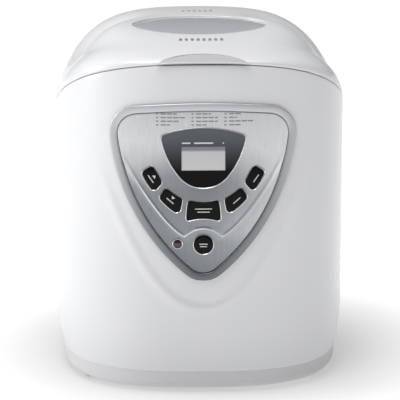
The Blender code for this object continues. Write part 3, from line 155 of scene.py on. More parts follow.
def surface(name, colour, roughness, metallic=0.0, ior=1.5, tint=None, tintSize=40, grain=0.0, grainSize=0.6,
            roughShift=0.05, stretch=(1, 1, 1), detail=3, **sockets):
    # a colour that drifts between two close tones, a roughness that varies, and a surface grain in mm
    made = bpy.data.materials.new(name)
    made.use_nodes = True
    tree = made.node_tree
    shader = tree.nodes["Principled BSDF"]
    shader.inputs["Metallic"].default_value = metallic
    if not metallic:
        shader.inputs["IOR"].default_value = ior
    for socket, value in sockets.items():
        shader.inputs[socket.replace("_", " ")].default_value = value
    place = addNode(tree, "ShaderNodeTexCoord")
    mapping = addNode(tree, "ShaderNodeMapping", {"Scale": stretch}, {"Vector": place.outputs["Object"]})
    drift = addNode(tree, "ShaderNodeTexNoise", {"Scale": 1 / (tintSize * mm), "Detail": 2.0},
                    {"Vector": mapping.outputs["Vector"]})
    tone = addNode(tree, "ShaderNodeMix", {"data_type": "RGBA"}, {"Factor": drift.outputs["Fac"]})
    tone.inputs[6].default_value = toLinear(colour)
    tone.inputs[7].default_value = toLinear(tint or colour)
    tree.links.new(tone.outputs[2], shader.inputs["Base Color"])
    fine = addNode(tree, "ShaderNodeTexNoise", {"Scale": 1 / (grainSize * mm), "Detail": float(detail)},
                   {"Vector": mapping.outputs["Vector"]})
    rough = addNode(tree, "ShaderNodeMapRange", {"To Min": max(0.02, roughness - roughShift),
                                                 "To Max": roughness + roughShift},
                    {"Value": fine.outputs["Fac"]})
    tree.links.new(rough.outputs["Result"], shader.inputs["Roughness"])
    if grain:
        bump = addNode(tree, "ShaderNodeBump", {"Strength": 0.35, "Distance": grain * mm},
                       {"Height": fine.outputs["Fac"]})
        tree.links.new(bump.outputs["Normal"], shader.inputs["Normal"])
    return made


# where the painted reflection and shade on the fascia film lies, and how deep it goes
filmSetup = {
    "poolPlace": (-0.05, 0, -4.30), "poolScale": (13.5, 0.0, 22.5), "poolShare": 0.38,
    "leanFrom": (-0.07, 0.075), "leanTo": (0.50, 0.02), "lowFrom": (0.232, 0.165),
    "tipFrom": (0.165, 0.115), "tipTo": 0.3, "lineStretch": 0.015, "lineWidth": 0.9, "lineShade": (0.86,
            1.12),
}


def brushedSilver():
    # Silver film over the ABS fascia: fine upright brush lines, and a fade in its colour that darkens
    # under the display, more on the left: this fade is painted reflection and painted shade.
    # Real brush lines are too fine to show, so these are drawn 0.5 to 0.9 mm wide.
    made = surface("brushedSilverFilm", "#c9cacc", 0.34, metallic=0.75, grain=0.03, grainSize=0.5,
                   stretch=(1, 1, 0.02), roughShift=0.09, detail=4)
    tree = made.node_tree
    shader = tree.nodes["Principled BSDF"]
    place = addNode(tree, "ShaderNodeTexCoord")
    centred = addNode(tree, "ShaderNodeMapping",
                      {"Location": filmSetup["poolPlace"], "Scale": filmSetup["poolScale"]},
                      {"Vector": place.outputs["Object"]})
    pool = addNode(tree, "ShaderNodeTexGradient", {"gradient_type": "SPHERICAL"},
                   {"Vector": centred.outputs["Vector"]})
    parts = addNode(tree, "ShaderNodeSeparateXYZ", {}, {"Vector": place.outputs["Object"]})
    leanLow, leanHigh = filmSetup["leanFrom"]
    leftTone, rightTone = filmSetup["leanTo"]
    lean = addNode(tree, "ShaderNodeMapRange", {"From Min": leanLow, "From Max": leanHigh,
                                                "To Min": leftTone, "To Max": rightTone},
                   {"Value": parts.outputs["X"]})
    highZ, lowZ = filmSetup["lowFrom"]
    low = addNode(tree, "ShaderNodeMapRange", {"From Min": highZ, "From Max": lowZ},
                  {"Value": parts.outputs["Z"]})
    leftLow = addNode(tree, "ShaderNodeMath", {"operation": "MULTIPLY"},
                      {0: lean.outputs["Result"], 1: low.outputs["Result"]})
    tipTop, tipEnd = filmSetup["tipFrom"]
    tip = addNode(tree, "ShaderNodeMapRange", {"From Min": tipTop, "From Max": tipEnd,
                                               "To Max": filmSetup["tipTo"]}, {"Value": parts.outputs["Z"]})
    both = addNode(tree, "ShaderNodeMath", {"operation": "ADD"},
                   {0: leftLow.outputs["Value"], 1: tip.outputs["Result"]})
    fade = addNode(tree, "ShaderNodeMath", {"operation": "MULTIPLY_ADD", 1: filmSetup["poolShare"]},
                   {0: pool.outputs["Fac"], 2: both.outputs["Value"]})
    # the ramp gives the painted reflection and shade its colours, pale to dark
    ramp = addNode(tree, "ShaderNodeValToRGB", {}, {"Fac": fade.outputs["Value"]})
    ramp.color_ramp.elements[0].color = toLinear("#dfe0e2")
    ramp.color_ramp.elements[1].color = toLinear("#50565a")
    ramp.color_ramp.elements[1].position = 0.8
    middle = ramp.color_ramp.elements.new(0.35)
    middle.color = toLinear("#94989b")
    lines = addNode(tree, "ShaderNodeMapping", {"Scale": (1, 1, filmSetup["lineStretch"])},
                    {"Vector": place.outputs["Object"]})
    streak = addNode(tree, "ShaderNodeTexNoise", {"Scale": 1 / (filmSetup["lineWidth"] * mm), "Detail": 2.0},
                     {"Vector": lines.outputs["Vector"]})
    darkest, palest = filmSetup["lineShade"]
    shade = addNode(tree, "ShaderNodeMapRange", {"To Min": darkest, "To Max": palest},
                    {"Value": streak.outputs["Fac"]})
    mixed = addNode(tree, "ShaderNodeVectorMath", {"operation": "SCALE"},
                    {0: ramp.outputs["Color"], "Scale": shade.outputs["Result"]})
    tree.links.new(mixed.outputs["Vector"], shader.inputs["Base Color"])
    return made


def colourFade(name, stops, low, high, axis="Z", **settings):
    # a material whose colour runs through stops from a low to a high place on an axis
    made = surface(name, stops[0][1], **settings)
    tree = made.node_tree
    place = addNode(tree, "ShaderNodeTexCoord")
    parts = addNode(tree, "ShaderNodeSeparateXYZ", {}, {"Vector": place.outputs["Object"]})
    level = addNode(tree, "ShaderNodeMapRange", {"From Min": low, "From Max": high},
                    {"Value": parts.outputs[axis]})
    ramp = addNode(tree, "ShaderNodeValToRGB", {}, {"Fac": level.outputs["Result"]})
    for element, stop in zip(ramp.color_ramp.elements, (stops[0], stops[-1])):
        element.position, element.color = stop[0], toLinear(stop[1])
    for stop in stops[1:-1]:
        ramp.color_ramp.elements.new(stop[0]).color = toLinear(stop[1])
    tree.links.new(ramp.outputs["Color"], tree.nodes["Principled BSDF"].inputs["Base Color"])
    return made


# Moulded ABS, white: an even gloss with a faint orange peel from the mould
whiteAbs = surface("mouldedWhiteAbs", "#e4e4e6", 0.30, tint="#e1e2e4", grain=0.02, grainSize=1.4,
                   Coat_Weight=0.25, Coat_Roughness=0.12)
# Moulded ABS, satin: a flatter light on the pale base, and a darker grey on the handle dish
greyAbs = surface("satinPaleAbs", "#dbdbdd", 0.38, tint="#d8d8da", grain=0.03, grainSize=0.8)
handleAbs = surface("satinHandleAbs", "#bfbfc2", 0.38, tint="#bbbbbe", grain=0.02, grainSize=0.8)
# Painted ABS, silver grey, flakes just visible; the darkening of the rim towards its foot is painted
# reflection and shade
bezelPaint = colourFade("silverPaintedAbs",
                        [(0.0, "#64676a"), (0.3, "#8b8e91"), (0.65, "#b3b4b7"), (1.0, "#c6c7ca")],
                        0.107, 0.262, roughness=0.36, metallic=0.4, grain=0.01, grainSize=0.35,
                        Coat_Weight=0.2, Coat_Roughness=0.15)
# Polished silver edge: a thin bright outline round each key and the display
polishedRim = surface("polishedSilverRim", "#dfe0e2", 0.16, metallic=0.85, roughShift=0.03, grainSize=2)
silverFilm = brushedSilver()
# Crest of the film with a painted highlight: a line near white on the left, where the key light falls, that
# fades to grey on the right
ridgeHighlight = colourFade("paintedHighlightRidge", [(0.0, "#f4f4f5"), (0.55, "#d8d9db"), (1.0, "#b9bbbd")],
                         -0.065, 0.065, "X", roughness=0.25, metallic=0.2, grainSize=2)
# Moulded ABS, black, high gloss: deep keys with small sharp highlights
blackAbs = surface("glossBlackAbs", "#0c0c0d", 0.16, tint="#101012", grain=0.01, grainSize=1.5,
                   roughShift=0.03, Specular_IOR_Level=0.1)
# Pad-printed ink, white and grey: flat and dull beside the glossy parts round it
printWhite = surface("padPrintWhite", "#d9dadb", 0.55, tint="#cfd0d2", tintSize=1.5, grainSize=0.4)
printGrey = surface("padPrintGrey", "#85888b", 0.55, tint="#8e9194", tintSize=1.5, grainSize=0.4)
# Smoked acrylic: grey at the top, black at the point
smokedAcrylic = colourFade("smokedAcrylic",
                           [(0.0, "#050505"), (0.26, "#0b0b0b"), (0.46, "#36393c"), (0.75, "#585d61"),
                            (1.0, "#62686c")],
                           0.192, 0.247, roughness=0.12, roughShift=0.02, grainSize=3, Specular_IOR_Level=0.1)
# Liquid crystal display: a pale reflector with a shaded top strip
crystalDisplay = colourFade("liquidCrystal",
                            [(0.0, "#cdcdcf"), (0.77, "#c6c6c8"), (0.84, "#898a8e"), (1.0, "#808185")],
                            0.2065, 0.2285, roughness=0.28, roughShift=0.03, grainSize=0.3, tintSize=3)
# Dark red acrylic: an unlit lamp, glossy and nearly black, with red in its depth
redAcrylic = surface("darkRedAcrylic", "#3a1818", 0.12, tint="#2a1012", tintSize=4, Coat_Weight=0.5)
# Tempered glass, pale grey that darkens a little towards its top, so that it reads pale and hides the oven
windowGlass = colourFade("greyTemperedGlass", [(0.0, "#d2d3d7"), (1.0, "#c2c3c7")], 0.300, 0.322,
                         roughness=0.09, roughShift=0.02, grainSize=5, Coat_Weight=0.6, Coat_Roughness=0.03,
                         Transmission_Weight=0.06)
# Moulded rubber, black: dull, with a fine even grain
blackRubber = surface("mouldedBlackRubber", "#232323", 0.78, tint="#2a2a2a", tintSize=6, grain=0.05,
                      grainSize=0.4)
# Moulded nylon, black: half dull and slightly mottled
blackNylon = surface("mouldedBlackNylon", "#1d1d1f", 0.5, tint="#262628", tintSize=8, grain=0.04,
                     grainSize=0.5)
# Fluoropolymer non-stick coating on aluminium: dark, with pale flecks
nonStick = surface("nonStickCoating", "#2c2c2f", 0.40, tint="#3d3d41", tintSize=1.6, grain=0.04,
                   grainSize=0.5, roughShift=0.08)
# Sheet aluminium, rolled: lengthwise grain
rolledAluminium = surface("rolledAluminium", "#b9babc", 0.38, metallic=1.0, tint="#aeafb2", tintSize=12,
                          grain=0.02, grainSize=0.5, stretch=(0.06, 1, 1), roughShift=0.08)
# Zinc-plated steel: a cool bright metal with soft cloudy patches
zincSteel = surface("zincPlatedSteel", "#a5a6a8", 0.34, metallic=1.0, tint="#97999c", tintSize=9, grain=0.015,
                    grainSize=0.7, roughShift=0.07)
# Sintered bronze: a warm metal, dulled by its pores
sinteredBronze = surface("sinteredBronze", "#a9824a", 0.42, metallic=1.0, tint="#97733f", tintSize=2,
                         grain=0.03, grainSize=0.3)
# Steel heater sheath: browned by heat and nearly dull
heaterSheath = surface("heaterSheathSteel", "#6f6d6b", 0.45, metallic=1.0, tint="#5d5856", tintSize=14,
                       grain=0.02, grainSize=0.4)
# Glass-epoxy circuit board: dark green, half glossy, with a faint weave
circuitBoard = surface("glassEpoxyBoard", "#1d5a34", 0.42, tint="#174a2b", tintSize=3, grain=0.05,
                       grainSize=0.8)
# Matt paper: an even pale floor that glows away from the object
floorPaper = surface("studioPaper", "#adadae", 0.85, tint="#ababac", tintSize=300, grainSize=4)
print("materials made")


def gridSheet(across, along, place):
    # a flat grid whose points are then carried onto the surface that place(u, v) gives
    work = bmesh.new()
    bmesh.ops.create_grid(work, x_segments=across, y_segments=along, size=1)
    for vert in work.verts:
        vert.co = place((vert.co.x + 1) / 2, (vert.co.y + 1) / 2)
    bmesh.ops.remove_doubles(work, verts=work.verts, dist=0.012 * mm)
    bmesh.ops.dissolve_degenerate(work, dist=0.001 * mm, edges=work.edges)
    return work


def faceOut(work):
    bmesh.ops.recalc_face_normals(work, faces=work.faces)
    if work.calc_volume(signed=True) < 0:
        bmesh.ops.reverse_faces(work, faces=work.faces)
    return work


def closeEnds(work):
    rimEdges = [edge for edge in work.edges if edge.is_boundary]
    bmesh.ops.holes_fill(work, edges=rimEdges, sides=0)
    return faceOut(work)


def toObject(work, name):
    mesh = bpy.data.meshes.new(name)
    work.to_mesh(mesh)
    work.free()
    item = bpy.data.objects.new(name, mesh)
    bpy.context.scene.collection.objects.link(item)
    return item


def carve(work, tools, operation="DIFFERENCE"):
    # cuts the tools out of a shape, or joins them to it, and gives the result back
    base = toObject(work, "carveBase")
    for tool in tools:
        other = toObject(tool, "carveTool")
        step = base.modifiers.new("step", "BOOLEAN")
        step.operation = operation
        step.solver = "EXACT"
        step.object = other
        depsgraph = bpy.context.evaluated_depsgraph_get()
        result = bmesh.new()
        result.from_mesh(base.evaluated_get(depsgraph).to_mesh())
        bpy.data.objects.remove(other)
        bpy.data.objects.remove(base)
        base = toObject(result, "carveBase")
    final = bmesh.new()
    final.from_mesh(base.data)
    bpy.data.objects.remove(base)
    return final


def joined(works):
    whole = bmesh.new()
    for work in works:
        mesh = bpy.data.meshes.new("part")
        work.to_mesh(mesh)
        work.free()
        whole.from_mesh(mesh)
        bpy.data.meshes.remove(mesh)
    return whole


def finishPiece(work, name, finish, body, nodes=(), sharp=35):
    # makes the piece, shades it, gives it its finish and puts it on its body
    item = toObject(work, name)
    item.data.materials.append(finish)
    item.data.shade_smooth()
    item.data.set_sharp_from_angle(angle=math.radians(sharp))
    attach(item, body)
    if nodes:
        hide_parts(*nodes)


def prism(outline, near, far):
    # an outline in x and z, run along y
    work = bmesh.new()
    face = work.faces.new([work.verts.new((x, near, z)) for x, z in outline])
    made = bmesh.ops.extrude_face_region(work, geom=[face])
    moved = [part for part in made["geom"] if isinstance(part, bmesh.types.BMVert)]
    bmesh.ops.translate(work, vec=(0, far - near, 0), verts=moved)
    return faceOut(work)


def roundBar(start, end, radius, steps=32):
    start, end = Vector(start), Vector(end)
    turn = (end - start).to_track_quat("Z", "Y").to_matrix().to_4x4()
    work = bmesh.new()
    bmesh.ops.create_cone(work, cap_ends=True, segments=steps, radius1=radius, radius2=radius,
                          depth=(end - start).length, matrix=Matrix.Translation((start + end) / 2) @ turn)
    return faceOut(work)


def softBlock(low, high, radius, segments=3):
    work = bmesh.new()
    size = [high[k] - low[k] for k in range(3)]
    middle = [(high[k] + low[k]) / 2 for k in range(3)]
    bmesh.ops.create_cube(work, size=1, matrix=Matrix.Translation(middle) @ Matrix.Diagonal((*size, 1)))
    if radius:
        bmesh.ops.bevel(work, geom=list(work.edges), offset=radius, segments=segments, profile=0.5,
                        affect="EDGES", material=-1)
    return faceOut(work)


def softTube(name, route, radius, finish, body, nodes):
    curve = bpy.data.curves.new(name, "CURVE")
    curve.dimensions = "3D"
    curve.bevel_depth = radius
    curve.bevel_resolution = 5
    curve.use_fill_caps = True
    spline = curve.splines.new("POLY")
    spline.points.add(len(route) - 1)
    for point, position in zip(spline.points, route):
        point.co = (*position, 1)
    curve.materials.append(finish)
    item = bpy.data.objects.new(name, curve)
    bpy.context.scene.collection.objects.link(item)
    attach(item, body)
    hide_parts(*nodes)


def arcPoints(centre, radius, start, end, steps):
    return [(centre[0] + radius * math.cos(start + (end - start) * k / steps),
             centre[1] + radius * math.sin(start + (end - start) * k / steps)) for k in range(steps + 1)]


def softTriangle(shape, grow=0.0):
    # six tangent arcs; grow moves every arc outwards by the same distance
    halfWidth, top, bottom = shape["halfWidth"], shape["top"], shape["bottom"]
    corner, tip, sideArc, topArc = shape["corner"], shape["tip"], shape["sideArc"], shape["topArc"]
    cornerX = halfWidth - corner
    cornerZ = top - topArc + math.sqrt((topArc - corner) ** 2 - cornerX ** 2)
    tipZ = bottom + tip
    span = Vector((-cornerX, tipZ - cornerZ))
    along = ((sideArc - corner) ** 2 - (sideArc - tip) ** 2 + span.length ** 2) / (2 * span.length)
    across = math.sqrt((sideArc - corner) ** 2 - along ** 2)
    way = span.normalized()
    sideX = cornerX + along * way.x + across * way.y
    sideZ = cornerZ + along * way.y - across * way.x
    topTurn = math.atan2(cornerZ - (top - topArc), cornerX)
    sideTurn = math.atan2(cornerZ - sideZ, cornerX - sideX)
    tipTurn = math.atan2(tipZ - sideZ, -sideX)
    right = arcPoints((0, tipZ), tip + grow, -math.pi / 2, tipTurn, 16)
    right += arcPoints((sideX, sideZ), sideArc + grow, tipTurn, sideTurn, 34)[1:]
    right += arcPoints((cornerX, cornerZ), corner + grow, sideTurn, topTurn, 18)[1:]
    right += arcPoints((0, top - topArc), topArc + grow, topTurn, math.pi / 2, 26)[1:]
    return right + [(-x, z) for x, z in reversed(right[1:-1])]


def softPolygon(corners, radius, steps=8, sideSteps=7):
    # rounded corners, with points along the straight sides so that they can be bowed
    outline = []
    count = len(corners)
    for index in range(count):
        here = Vector(corners[index])
        back = (Vector(corners[index - 1]) - here).normalized()
        ahead = (Vector(corners[(index + 1) % count]) - here).normalized()
        half = back.angle(ahead) / 2
        centre = here + (back + ahead).normalized() * (radius / math.sin(half))
        setback = radius / math.tan(half)
        first, last = here + back * setback, here + ahead * setback
        if outline:
            start = Vector(outline[-1])
            outline += [tuple(start.lerp(first, k / sideSteps)) for k in range(1, sideSteps)]
        for step in range(steps + 1):
            spoke = (first - centre) * (1 - step / steps) + (last - centre) * (step / steps)
            outline.append(tuple(centre + spoke.normalized() * radius))
    start, end = Vector(outline[-1]), Vector(outline[0])
    return outline + [tuple(start.lerp(end, k / sideSteps)) for k in range(1, sideSteps)]


def bowed(outline, corners, bows, radius):
    # pushes each side of a soft polygon in or out at its middle
    result = []
    for point in outline:
        here = Vector(point)
        shift = Vector((0, 0))
        for index, bow in enumerate(bows):
            start, end = Vector(corners[index]), Vector(corners[(index + 1) % len(corners)])
            side = end - start
            out = Vector((side.y, -side.x)).normalized()
            share = (here - start).dot(side) / side.length_squared
            away = abs((here - start).dot(out))
            if 0 < share < 1 and away < radius:
                shift += out * bow * (1 - (2 * share - 1) ** 2) * (1 - away / radius)
        result.append(tuple(here + shift))
    return result


def offset(outline, distance):
    count = len(outline)
    area = sum(outline[k - 1][0] * outline[k][1] - outline[k][0] * outline[k - 1][1] for k in range(count))
    side = 1 if area > 0 else -1
    result = []
    for index in range(count):
        here = Vector(outline[index])
        along = (Vector(outline[(index + 1) % count]) - Vector(outline[index - 1])).normalized()
        result.append(tuple(here + Vector((along.y, -along.x)) * side * distance))
    return result


def ringOnFront(outlines, prouds):
    # matching outlines, each at its own height above the curved front, skinned into a closed ring
    count = len(outlines[0])

    def place(u, v):
        level = round(v * len(outlines)) % len(outlines)
        x, z = outlines[level][round(u * count) % count]
        return frontPoint(x, z, prouds[level])

    return faceOut(gridSheet(count, len(outlines), place))


def plateOnFront(outline, topRings, topShare, levels, relief, low):
    # a filled plate: rings from its middle out to the outline, a rounded edge, and a plain back
    count = len(outline)
    middle = Vector((sum(p[0] for p in outline) / count, sum(p[1] for p in outline) / count))
    steps = [("top", topShare * k / topRings) for k in range(topRings + 1)]
    steps += [("edge", level) for level in levels] + [("back", 1.0), ("back", 0.0)]

    def place(u, v):
        kind, value = steps[round(v * (len(steps) - 1))]
        rim = Vector(outline[round(u * count) % count])
        if kind == "edge":
            inset, drop = value
            spot = rim + (rim - middle).normalized() * -inset
            return frontPoint(spot.x, spot.y, relief(spot.x, spot.y) - drop)
        spot = middle.lerp(rim, value)
        return frontPoint(spot.x, spot.y, low if kind == "back" else relief(spot.x, spot.y))

    return faceOut(gridSheet(count, len(steps) - 1, place))


coverSetup = {"levels": 104, "turns": 176, "lipInset": 5.7 * mm, "embossHeight": 1.7 * mm,
              "embossWidth": 3.8 * mm,
              "embossLow": 79.5 * mm, "embossGrowth": 0.0101, "embossPower": 2.085,
              "embossEnd": (0.165, 0.222), "tuck": 5.2 * mm, "tuckFrom": 72 * mm, "tuckPower": 2.2,
              "cutAhead": 20 * mm, "cutBehind": 60 * mm, "glandHole": 7.0 * mm, "glandReach": 10 * mm}


def emboss(x, z):
    # the soft raised U round the control panel, fading out towards the top
    across = abs(x) / mm
    centre = coverSetup["embossLow"] + coverSetup["embossGrowth"] * across ** coverSetup["embossPower"] * mm
    slope = coverSetup["embossGrowth"] * coverSetup["embossPower"] * across ** (coverSetup["embossPower"] - 1)
    away = (z - centre) / math.sqrt(1 + slope ** 2) / coverSetup["embossWidth"]
    return coverSetup["embossHeight"] * math.exp(-away ** 2) * (1 - smoothStep(*coverSetup["embossEnd"], z))


def coverShell(start, end, raised):
    wall, levels = form["wall"], coverSetup["levels"]
    profile = [(0.5 * mm, 0, 0), (0.15 * mm, 0, 0.15 * mm)]
    profile += [(0, k / levels, 0.5 * mm * (1 - k / levels) - 1.1 * mm * k / levels) for k in range(levels
            + 1)]
    profile += [(0.1 * mm, 1, -0.6 * mm), (0.35 * mm, 1, -0.25 * mm), (1.0 * mm, 1, 0), (wall - 0.2 * mm, 1,
            0)]
    profile += [(wall, 1 - k / 8, -0.3 * mm + (wall + 0.3 * mm) * k / 8) for k in range(9)]
    profile += [(coverSetup["lipInset"], 0, wall), (coverSetup["lipInset"], 0, 0)]
    turns = coverSetup["turns"]

    def place(u, v):
        turn = start + (end - start) * round(u * turns) / turns
        inset, share, lift = profile[round(v * len(profile)) % len(profile)]
        top = seamPoint(turn, inset, -form["lidGap"] / 2)
        height = form["coverBottom"] + (top.z - form["coverBottom"]) * share + lift
        low = max(0.0, (coverSetup["tuckFrom"] - height) / (coverSetup["tuckFrom"] - form["coverBottom"]))
        point = bodyPoint(turn, height, inset + coverSetup["tuck"] * low ** coverSetup["tuckPower"])
        if raised and inset == 0:
            point += Vector((0, -1, 0)) * emboss(point.x, point.z)
        return point

    return closeEnds(gridSheet(turns, len(profile), place))


panelShape = {"halfWidth": 82.4 * mm, "top": 266.5 * mm, "bottom": 106.7 * mm, "corner": 25 * mm,
              "tip": 24 * mm,
              "sideArc": 190 * mm, "topArc": 606 * mm, "rimWidth": 6.8 * mm, "rimProud": 3.2 * mm,
              "seat": 0.6 * mm, "openingMargin": 4.5 * mm}
hingeSetup = {"y": 158.6 * mm, "z": 243.25 * mm, "side": 40 * mm, "length": 10 * mm, "radius": 5 * mm,
              "bore": 2.3 * mm, "armGap": 1.2 * mm}


def rearWallY(x):
    share = abs(x) / form["halfWidth"]
    return form["centreY"] + form["rearDepth"] * (1 - share ** form["rearRound"]) ** (1 / form["rearRound"])


def addKnuckle(work, nearX, farX, level):
    lowX, highX = sorted((nearX, farX))
    y, z, radius = hingeSetup["y"], hingeSetup["z"], hingeSetup["radius"]
    wallY = rearWallY(farX) - 0.12 * form["wall"]
    heights = sorted((z + level * hingeSetup["armGap"], z + level * radius))
    arm = softBlock((lowX, wallY, heights[0]), (highX, y, heights[1]), 0)
    barrel = roundBar((lowX, y, z), (highX, y, z), radius)
    bore = roundBar((lowX - form["wall"], y, z), (highX + form["wall"], y, z), hingeSetup["bore"])
    return carve(carve(work, [arm, barrel], "UNION"), [bore])


ventSetup = {"pitch": 5.3 * mm, "width": 2.7 * mm, "length": 8.0 * mm, "frontY": -96 * mm, "frontCount": 8,
             "rearY": 33 * mm, "rearCount": 6, "corner": 1.2 * mm, "cut": 8 * mm}


def makeCovers():
    split = form["gap"] / form["halfWidth"] / 2
    front = coverShell(math.pi + split, math.tau - split, True)
    opening = softTriangle(panelShape, -panelShape["rimWidth"] - panelShape["openingMargin"])
    front = carve(front, [prism(opening, frontY - coverSetup["cutAhead"], frontY + coverSetup["cutBehind"])])
    finishPiece(front, "frontCoverShell", whiteAbs, "body", ["front_cover"])
    rear = coverShell(split, math.pi - split, False)
    for side in (-1, 1):
        half = hingeSetup["length"] / 2
        rear = addKnuckle(rear, side * (hingeSetup["side"] - half), side * (hingeSetup["side"] + half), -1)
    low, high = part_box("cord_gland")
    centre = [(low[k] + high[k]) / 2 for k in range(3)]
    reach = coverSetup["glandReach"]
    rear = carve(rear, [roundBar((centre[0], low[1] - reach, centre[2]), (centre[0], high[1] + reach,
            centre[2]),
                                 coverSetup["glandHole"])])
    finishPiece(rear, "rearCoverShell", whiteAbs, "body", ["rear_cover"])
    print("covers made")


baseSetup = {"inset": 6 * mm, "soft": 4.5 * mm, "softRise": 1.4, "floor": 4 * mm, "rim": 28.3 * mm,
             "wall": 2.5 * mm, "screwHole": 2.3 * mm, "holeTop": 20 * mm, "turns": 160}


def makeBase():
    inset, floor, rim, wall = (baseSetup[key] for key in ("inset", "floor", "rim", "wall"))
    soft, rise = baseSetup["soft"], baseSetup["softRise"]
    profile = [(0, floor, 0.0), (inset + soft, floor, 0.5)]
    for k in range(9):
        bend = math.radians(90 * k / 8)
        profile.append((inset + soft * (1 - math.sin(bend)), floor + soft * rise * (1 - math.cos(bend)), 1))
    profile += [(inset, rim, 1), (inset + wall, rim, 1), (inset + wall, floor + soft * rise, 1),
                (inset + soft + wall, floor + wall, 1), (inset + soft + wall, floor + wall, 0.5),
                (0, floor + wall, 0.0)]
    turns = baseSetup["turns"]

    def place(u, v):
        depth, height, scale = profile[round(v * (len(profile) - 1))]
        point = bodyPoint(math.tau * (round(u * turns) % turns) / turns, height, depth)
        centre = Vector((0, form["centreY"], height))
        return centre + (point - centre) * scale

    tray = faceOut(gridSheet(turns, len(profile) - 1, place))
    holes = []
    for index in range(1, 5):
        low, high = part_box("foot_%d" % index)
        x, y = (low[0] + high[0]) / 2, (low[1] + high[1]) / 2
        holes.append(roundBar((x, y, 0), (x, y, baseSetup["holeTop"]), baseSetup["screwHole"]))
    finishPiece(carve(tray, holes), "baseTrayShell", greyAbs, "body", ["base_tray"])
    print("base made")


ovenSetup = {"y": 19.6 * mm, "halfX": 108 * mm, "halfY": 83 * mm, "power": 5.0, "wall": 1.5 * mm,
             "floor": 50 * mm,
             "top": 239.5 * mm, "lip": 6 * mm, "turns": 144}


def softRectangle(halfX, halfY, power, centre, turn, height):
    reach = (abs(math.cos(turn) / halfX) ** power + abs(math.sin(turn) / halfY) ** power) ** (-1 / power)
    return Vector((centre[0] + reach * math.cos(turn), centre[1] + reach * math.sin(turn), height))


def ovenPoint(grow, height, turn):
    return softRectangle(ovenSetup["halfX"] + grow, ovenSetup["halfY"] + grow, ovenSetup["power"],
                         (0, ovenSetup["y"]), turn, height)


def turnedSheet(profile, pointAt, turns, closed):
    # a profile carried round by pointAt(entry, turn); closed joins its last entry to its first
    steps = len(profile) if closed else len(profile) - 1

    def place(u, v):
        return pointAt(profile[round(v * steps) % len(profile)],
                       math.tau * (round(u * turns) % turns) / turns)

    return faceOut(gridSheet(turns, steps, place))


def makeDeck():
    inset, drop, wall = form["wall"] + form["gap"], 1.2 * mm, form["wall"]
    opening = -ovenSetup["wall"]
    bottom = ovenSetup["top"] + form["gap"]
    profile = [("span", k / 10, drop, opening) for k in range(10)]
    profile += [("span", 0.985, drop + 0.2 * mm, opening), ("span", 1.0, drop + 1.2 * mm, opening)]
    profile += [("low", opening, bottom), ("low", opening + 2 * mm, bottom)]
    profile += [("span", 1 - k / 6, drop + wall, opening + 2 * mm) for k in range(7)]

    def pointAt(entry, turn):
        if entry[0] == "low":
            return ovenPoint(entry[1], entry[2], turn)
        outer = seamPoint(turn, inset)
        hole = ovenPoint(entry[3], 0, turn)
        spot = outer.lerp(hole, entry[1])
        return Vector((spot.x, spot.y, seamHeight(spot.y) - entry[2]))

    finishPiece(turnedSheet(profile, pointAt, ovenSetup["turns"], True), "topDeckPanel", whiteAbs, "body",
                ["top_deck"])
    print("deck made")


def windowPoint(turn, grow=0.0, scale=1.0):
    return Vector(((windowSetup["halfX"] + grow) * scale * math.cos(turn),
                   windowSetup["y"] + (windowSetup["halfY"] + grow) * scale * math.sin(turn), 0))


def onDome(point, below):
    return Vector((point.x, point.y, lidHeight(point.x, point.y) - below))


handleSetup = {"halfChord": 42 * mm, "depth": 19 * mm, "lip": 2.5 * mm, "edge": 2.0 * mm, "slope": 0.22,
               "pocketAhead": 12 * mm, "pocketDrop": 25 * mm, "pocketHeight": 65 * mm}


def frontEdge(x):
    turn = -math.pi / 2
    for _ in range(6):  # settles on the seam point at this x
        point = seamPoint(turn)
        turn += (x - point.x) / form["frontDepth"]
    return point


def handleArc(grow):
    # the half-moon's front line, its arc's centre and radius, and the angle that the arc spans
    half, depth = handleSetup["halfChord"] + grow, handleSetup["depth"] + grow
    front = frontEdge(0).y - handleSetup["lip"]
    radius = (half ** 2 + depth ** 2) / (2 * depth)
    return front, front + depth - radius, radius, math.asin(half / radius)


def makeVentShadePlate(half, nearY, farY):
    # a black plate under the vent slots, painted shade: it stands in for the dark inside of the lid and
    # closes the view into it
    def place(u, v):
        x, y = -half + 2 * half * u, nearY + (farY - nearY) * (v if v < 0.5 else 1 - v) * 2
        return Vector((x, y, lidHeight(x, y) - form["wall"] - (0.4 if v < 0.5 else 1.4) * mm))

    finishPiece(closeEnds(gridSheet(12, 12, place)), "ventShadePlate", blackNylon, "lid")


